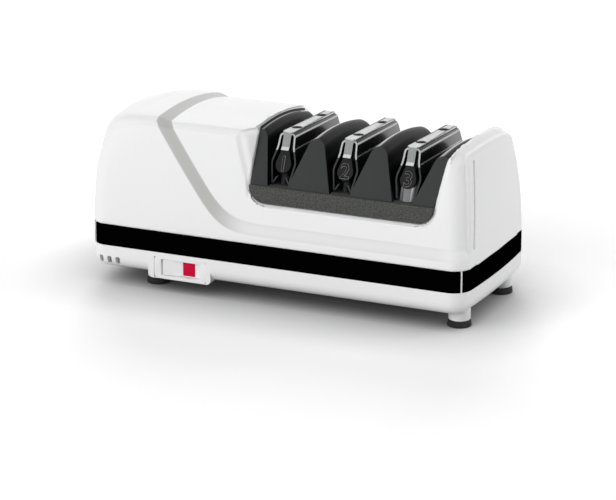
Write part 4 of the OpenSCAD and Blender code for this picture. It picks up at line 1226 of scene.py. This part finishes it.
class SHARPENER_OT_plates(bpy.types.Operator):
    """Model the drop-shaped plates with their raised numbers"""

    bl_idname = "sharpener.plates"
    bl_label = "Number plates"

    def drop(self, name, x, front, middle_z):
        """An upright plate: a round below, drawn in to a neck that runs up behind the tongue."""
        radius, thick, neck_half = 5.1 * MM, 2.2 * MM, 2.5 * MM
        neck_z, top_z = 95 * MM, 102.8 * MM
        stretch = 1 / math.cos(sizes().spring_lean)
        neck_top = middle_z + (neck_z - middle_z) * stretch
        disc = rod("disc", (x, front + thick / 2, middle_z), radius, thick, LYING_Y)
        neck = block("neck", (x - neck_half, front, neck_top - 0.5 * MM),
                     (x + neck_half, front + thick, neck_top))
        piece = gather(name, [disc, neck])
        choose(piece, "VERT", anything)
        bpy.ops.mesh.convex_hull()
        choose(piece, "FACE", lambda f: f.normal.z > 0.99)
        draw_out(0, 0, (top_z - neck_z) * stretch)
        tidy(piece)
        ease_folds(piece, width=0.4 * MM, segments=3)
        smooth(piece)
        coat(piece, FINISH["plate"])
        return piece

    def digit(self, number, middle):
        """A raised number whose bevelled edge carries a painted highlight."""
        clear_choice()
        bpy.ops.object.text_add(location=middle, rotation=LYING_Y)
        text = bpy.context.object.data
        text.body = str(number)
        text.size = 12.4 * MM
        text.extrude = 0.1 * MM
        text.bevel_depth = 0.3 * MM
        text.align_x = "CENTER"
        text.align_y = "CENTER"
        hold(bpy.context.object)
        bpy.ops.object.convert(target="MESH")
        digit = keep(bpy.context.object, "digit")
        coat(digit, FINISH["plate"], FINISH["numeral_painted_highlight"])
        # The bevel and sides get the painted highlight; the face keeps the plate's black
        assign(digit, 1, lambda f: f.normal.y > -0.95)
        return digit

    def execute(self, context):
        middle_z = 87 * MM
        front = -lean_reach(middle_z)
        for k in range(3):
            name, x = f"number_plate_{k + 1}_drop", stage_x(k)
            drop = self.drop(name, x, front, middle_z)
            piece = gather(name, [drop, self.digit(k + 1, (x, front - NEAR, middle_z))])
            turned(piece, -sizes().spring_lean, "X", (x, front, middle_z))
            tipped(piece)
            place(piece, "root", f"number_plate_{k + 1}")
        return {"FINISHED"}


class SHARPENER_OT_strip_screws(bpy.types.Operator):
    """Model the cross-head screws in the top strips"""

    bl_idname = "sharpener.strip_screws"
    bl_label = "Strip screws"

    def execute(self, context):
        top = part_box("strip_screws")[1].z
        radius, head, long_half, thin_half, deep = 3.25 * MM, 0.7 * MM, 1.6 * MM, 0.35 * MM, 0.45 * MM
        heads = []
        for x in map(stage_x, range(3)):
            for y in (-sizes().screw_reach, sizes().screw_reach):
                screw = rod("screw", (x, y, top - head / 2), radius, head, sides=32)
                soften(screw, lambda e: level(e, Z, top), width=0.4 * MM, segments=3)
                bars = [block("bar", (x - a, y - b, top - deep), (x + a, y + b, top + MM))
                        for a, b in ((long_half, thin_half), (thin_half, long_half))]
                cut(screw, *bars)
                heads.append(screw)
        screws = gather("strip_screw_heads", heads)
        tipped(screws)
        dress(screws, "fastener", "strip_screws")
        return {"FINISHED"}


class SHARPENER_OT_sleeve(bpy.types.Operator):
    """Model the polished sleeve on the third stage"""

    bl_idname = "sharpener.sleeve"
    bl_label = "Polished sleeve"

    def execute(self, context):
        s = sizes()
        low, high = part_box("stage_3_sleeve")
        x, y = (low.x + high.x) / 2, 6.6 * MM - lean_reach(s.deck)
        radius, bore = (high.x - low.x) / 2 + 1.8 * MM, 3.25 * MM
        top, tall, mouth = s.deck + 10 * MM, 15 * MM, 8.2 * MM
        foot = Vector((x, y, s.deck))
        tube = rod("stage_3_sleeve_tube", (x, y, top - tall / 2), radius, tall, sides=64)
        hollow(tube, Z, wall=radius - bore)

        def outer_rim(e):
            out = math.hypot(e.verts[0].co.x - x, e.verts[0].co.y - y)
            return level(e, Z, top) and out > radius - NEAR

        soften(tube, outer_rim, width=0.3 * MM, segments=3)
        turned(tube, -s.spring_lean, "X", foot)
        trim(tube, foot, (0, 0, -1))
        tidy(tube)
        smooth(tube)
        # The pale bands down the sleeve's sides are painted highlight, and the black top under the plate is
        # painted shade
        coat(tube, FINISH["polished"], FINISH["plate"], FINISH["edge"])
        assign(tube, 2, lambda f: 0.5 < abs(f.normal.x) < 0.8)
        axis = Vector((0, math.sin(s.spring_lean), math.cos(s.spring_lean)))
        assign(tube, 1, lambda f: (f.calc_center_median() - foot).dot(axis) > mouth)
        place(tube, "root", "stage_3_sleeve")
        return {"FINISHED"}


class SHARPENER_OT_switch(bpy.types.Operator):
    """Model the switch frame, the rocker and its red half"""

    bl_idname = "sharpener.switch"
    bl_label = "Switch"

    def bezel(self, x, z, half, rise):
        """The frame round the rocker, with a collar behind it."""
        low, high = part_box("switch_frame")
        front, thick, wall = low.y, 1.6 * MM, 1.2 * MM
        rim = block("switch_bezel", (low.x, front, low.z), (high.x, front + thick, high.z))
        soften(rim, lambda e: along(e, Y), width=2.2 * MM, segments=5)
        half, rise = half + 0.8 * MM, rise + 0.3 * MM
        well = block("well", (x - half, front - MM, z - rise), (x + half, front + 9 * MM, z + rise))
        collar = block("collar", (x - half - wall, front + thick / 2, z - rise - wall),
                       (x + half + wall, high.y, z + rise + wall))
        fuse(rim, collar)
        cut(rim, well)
        ease_folds(rim, width=0.3 * MM, segments=3)
        dress(rim, "housing", "switch_frame")

    def execute(self, context):
        low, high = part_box("switch_frame")
        x, z = (low.x + high.x) / 2, (low.z + high.z) / 2
        half, rise = 12.4 * MM, 4.9 * MM
        self.bezel(x, z, half, rise)
        pivot = Vector((x, low.y + 5.15 * MM, z))
        face, dip = pivot.y - 4 * MM, 1.4 * MM
        flag_left, flag_right = x + 0.4 * MM, x + half - 3.8 * MM
        flag_rise, flag_deep = rise - 0.5 * MM, 0.9 * MM

        def dished(co):
            share = 1 - min(abs(co.x - x) / half, 1.0)
            return Vector((co.x, co.y + dip * share * (co.y < face + MM), co.z))

        def on_flag(f):
            mid = f.calc_center_median()
            return f.normal.y < -0.7 and flag_left < mid.x < flag_right and abs(mid.z - z) < flag_rise

        rocker = block("switch_rocker", (x - half, face, z - rise), (x + half, pivot.y - 0.2 * MM, z + rise))
        slice_at(rocker, X, [x, flag_left, flag_right])
        slice_at(rocker, Z, [z - flag_rise, z + flag_rise])
        reshape(rocker, dished)
        choose(rocker, "FACE", on_flag)
        draw_out(0, flag_deep, 0)
        ease_folds(rocker, width=0.3 * MM, segments=3)
        flag = block("switch_red_half", (flag_left, face, z - flag_rise),
                     (flag_right, face + flag_deep, z + flag_rise))
        reshape(flag, dished)
        ease_folds(flag, width=0.15 * MM, segments=2)
        for piece, slot, node in ((rocker, "housing", "power_rocker"), (flag, "red", "rocker_flag")):
            turned(piece, sizes().switch_tilt, "Z", pivot)
            dress(piece, slot, node, "rocker")
        return {"FINISHED"}


class SHARPENER_OT_underside(bpy.types.Operator):
    """Model the clean-out cover and the cord inlet"""

    bl_idname = "sharpener.underside"
    bl_label = "Underside and inlet"

    def cover(self):
        """The cover, with grooves for a finger."""
        low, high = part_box("clean_out_cover")
        first, pitch, half, reach, deep = 10 * MM, 4 * MM, 0.9 * MM, 12 * MM, 0.8 * MM
        cover = block("clean_out_lid", low, high)
        soften(cover, lambda e: along(e, Z), width=3 * MM, segments=5)
        grips = []
        for k in range(5):
            x = low.x + first + k * pitch
            grip = block("grip", (x - half, -reach, low.z - MM), (x + half, reach, low.z + deep))
            soften(grip, lambda e: along(e, Z), width=0.8 * MM, segments=3)
            grips.append(grip)
        cut(cover, *grips)
        ease_folds(cover, width=0.3 * MM, segments=2)
        dress(cover, "housing", "clean_out_cover", "cover")

    def inlet(self):
        """The bush of the cord inlet."""
        low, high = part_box("cord_inlet")
        bush = rod("cord_inlet_bush", (low + high) / 2, radius=5.5 * MM, depth=high.y - low.y, turn=LYING_Y)
        hollow(bush, Y, wall=2.1 * MM)
        soften(bush, lambda e: level(e, Y, high.y), width=0.5 * MM, segments=3)
        smooth(bush)
        tidy(bush)
        coat(bush, FINISH["pad"])
        place(bush, "root", "cord_inlet")

    def execute(self, context):
        self.cover()
        self.inlet()
        return {"FINISHED"}


class SHARPENER_OT_disc_springs(bpy.types.Operator):
    """Wind the springs between the discs, each as a left and a right half"""

    bl_idname = "sharpener.disc_springs"
    bl_label = "Disc springs"

    def execute(self, context):
        wire_radius, turns, steps_a_turn = 0.45 * MM, 2.5, 24
        steps = int(steps_a_turn * turns)
        for k in (1, 2, 3):
            low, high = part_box(f"disc_spring_{k}")
            middle = (low + high) / 2
            half = (high.x - low.x) / 2 - wire_radius
            radius = (high.y - low.y) / 2 - wire_radius
            for side, way in (("left", -1), ("right", 1)):
                clear_choice()
                bpy.ops.mesh.primitive_circle_add(vertices=12, radius=wire_radius)
                coil = keep(bpy.context.object, f"disc_spring_{k}_{side}_half")
                reshape(coil, lambda co: Vector((co.x, co.y + radius, co.z)))
                finish_with(coil, "SCREW", axis="X", angle=way * turns * math.tau, screw_offset=way * half,
                            steps=steps, render_steps=steps)
                choose(coil, "EDGE", lambda e: e.is_boundary)
                bpy.ops.mesh.fill_holes(sides=0)
                tidy(coil)
                reshape(coil, lambda co: co + middle)
                smooth(coil, degrees=50)
                coat(coil, FINISH["steel"])
                clear_choice()
                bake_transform(coil)
                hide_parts(f"disc_spring_{k}")
        return {"FINISHED"}


class SHARPENER_OT_frame_finishes(bpy.types.Operator):
    """Give the frame's own pieces their finishes"""

    bl_idname = "sharpener.frame_finishes"
    bl_label = "Frame finishes"

    def execute(self, context):
        slots = {row["node"]: row["material_slot"] for row in frame["record"]["subparts"]}
        for name, piece in frame["nodes"].items():
            coat(piece, FINISH[slots[name]])
        return {"FINISHED"}


def direct_sight(tree):
    """1 for what the camera, a reflection or glass shows, and 0 for light that falls on the object."""
    path = add_node(tree, "ShaderNodeLightPath").outputs
    seen = add_node(tree, "ShaderNodeMath", {"operation": "MAXIMUM"},
                    {0: path["Is Camera Ray"], 1: path["Is Glossy Ray"]})
    return add_node(tree, "ShaderNodeMath", {"operation": "MAXIMUM"},
                    {0: seen, 1: path["Is Transmission Ray"]})


class SHARPENER_OT_studio(bpy.types.Operator):
    """Set up the floor, the lamps, the surround and the camera"""

    bl_idname = "sharpener.studio"
    bl_label = "Studio"

    def floor(self):
        """A wide floor that looks white, keeps the object's shadow and has a painted shadow close to the
        object.
        """
        clear_choice()
        bpy.ops.mesh.primitive_plane_add(size=12, location=(0, 0, 0))
        floor = keep(bpy.context.object, "studio_floor")
        # Matt white paper: no mirror image, with a painted shadow that darkens it close to the feet
        material, tree, shader = new_material("matt_white_paper")
        sight = direct_sight(tree)
        white = add_node(tree, "ShaderNodeMapRange", {"To Min": 0.75, "To Max": 0.7}, {"Value": sight})
        glow = add_node(tree, "ShaderNodeMapRange", {"To Min": 0.0, "To Max": 0.40}, {"Value": sight})
        painted_contact_shadow = add_node(tree, "ShaderNodeAmbientOcclusion", {"Distance": 60 * MM}).outputs["AO"]
        for part, socket in ((white, "Base Color"), (glow, "Emission Strength")):
            shaded = add_node(tree, "ShaderNodeMath", {"operation": "MULTIPLY"}, {0: part, 1: painted_contact_shadow})
            wire(tree, shader, None, {socket: shaded})
        wire(tree, shader, {"Emission Color": (1, 1, 1, 1), "Roughness": 0.7, SHINE: 0.1})
        coat(floor, material)

    def surround(self, scene):
        """A white surround that lights the object only a little, more from above."""
        world = scene.world or bpy.data.worlds.new("studio_surround")
        scene.world = world
        world.use_nodes = True
        tree = world.node_tree
        way = add_node(tree, "ShaderNodeTexCoord").outputs["Generated"]
        up = add_node(tree, "ShaderNodeSeparateXYZ", None, {"Vector": way}).outputs["Z"]
        sky = add_node(tree, "ShaderNodeMapRange", {"To Min": 0.1, "To Max": 0.28}, {"Value": up})
        shown = add_node(tree, "ShaderNodeMath", {"operation": "MAXIMUM"}, {0: direct_sight(tree), 1: sky})
        wire(tree, tree.nodes["Background"], {"Color": (1, 1, 1, 1)}, {"Strength": shown})

    def lamps(self):
        """Four soft lamps: where each stands, its spread in degrees and its strength."""
        rows = (("front_key", (-0.05, -0.85, 0.52), 35, 1.14), ("left_window", (-0.6, -0.7, 0.4), 35, 0.95),
                ("back_light", (-0.36, 0.8, 0.48), 28, 1.75), ("right_fill", (0.8, 0.5, 0.33), 40, 1.2))
        for name, way, spread, strength in rows:
            clear_choice()
            bpy.ops.object.light_add(type="SUN", location=way)
            lamp = bpy.context.object
            lamp.name = name
            lamp.data.angle = math.radians(spread)
            lamp.data.energy = strength
            lamp.visible_glossy = False
            lamp.rotation_euler = Vector(way).to_track_quat("Z", "Y").to_euler()

    def camera(self, scene):
        """The camera, as it stood for the photograph."""
        clear_choice()
        spot = Vector((728.4, -1601.5, 583.5)) * MM
        aim = Vector((3.75, -6.87, 24.25)) * MM
        bpy.ops.object.camera_add(location=spot)
        camera = bpy.context.object
        camera.name = "photo_camera"
        camera.rotation_euler = (aim - spot).to_track_quat("-Z", "Y").to_euler()
        camera.data.sensor_fit = "HORIZONTAL"
        camera.data.sensor_width = 36
        camera.data.lens = 172.64
        camera.data.clip_end = 50
        scene.camera = camera

    def execute(self, context):
        self.floor()
        self.surround(context.scene)
        self.lamps()
        self.camera(context.scene)
        context.scene.view_settings.view_transform = "Standard"
        return {"FINISHED"}


class SHARPENER_PT_panel(bpy.types.Panel):
    """Lists the steps, sizes and colours"""

    bl_idname = "SHARPENER_PT_panel"
    bl_label = "Knife Sharpener"
    bl_space_type = "VIEW_3D"
    bl_region_type = "UI"
    bl_category = "Sharpener"

    def draw(self, context):
        for step in STEPS:
            self.layout.operator(step.bl_idname)
        for group in (context.scene.sharpener_sizes, context.scene.sharpener_colours):
            box = self.layout.box()
            for key in group.__annotations__:
                box.prop(group, key)


STEPS = (
    SHARPENER_OT_frame_finishes,
    SHARPENER_OT_housing,
    SHARPENER_OT_base,
    SHARPENER_OT_bands,
    SHARPENER_OT_feet,
    SHARPENER_OT_aprons,
    SHARPENER_OT_ridges,
    SHARPENER_OT_springs,
    SHARPENER_OT_strips,
    SHARPENER_OT_plates,
    SHARPENER_OT_strip_screws,
    SHARPENER_OT_sleeve,
    SHARPENER_OT_switch,
    SHARPENER_OT_underside,
    SHARPENER_OT_disc_springs,
    SHARPENER_OT_studio,
)
CLASSES = (SharpenerSizes, SharpenerColours) + STEPS + (SHARPENER_PT_panel,)


def register():
    """Registers the classes and the scene's settings."""
    for item in CLASSES:
        bpy.utils.register_class(item)
    bpy.types.Scene.sharpener_sizes = PointerProperty(type=SharpenerSizes)
    bpy.types.Scene.sharpener_colours = PointerProperty(type=SharpenerColours)


def unregister():
    """Removes the settings and the classes."""
    del bpy.types.Scene.sharpener_colours
    del bpy.types.Scene.sharpener_sizes
    for item in reversed(CLASSES):
        bpy.utils.unregister_class(item)


def main():
    """Builds every piece in order."""
    register()
    mix_finishes()
    for step in STEPS:
        group, name = step.bl_idname.split(".")
        getattr(getattr(bpy.ops, group), name)()


if __name__ == "__main__":
    main()
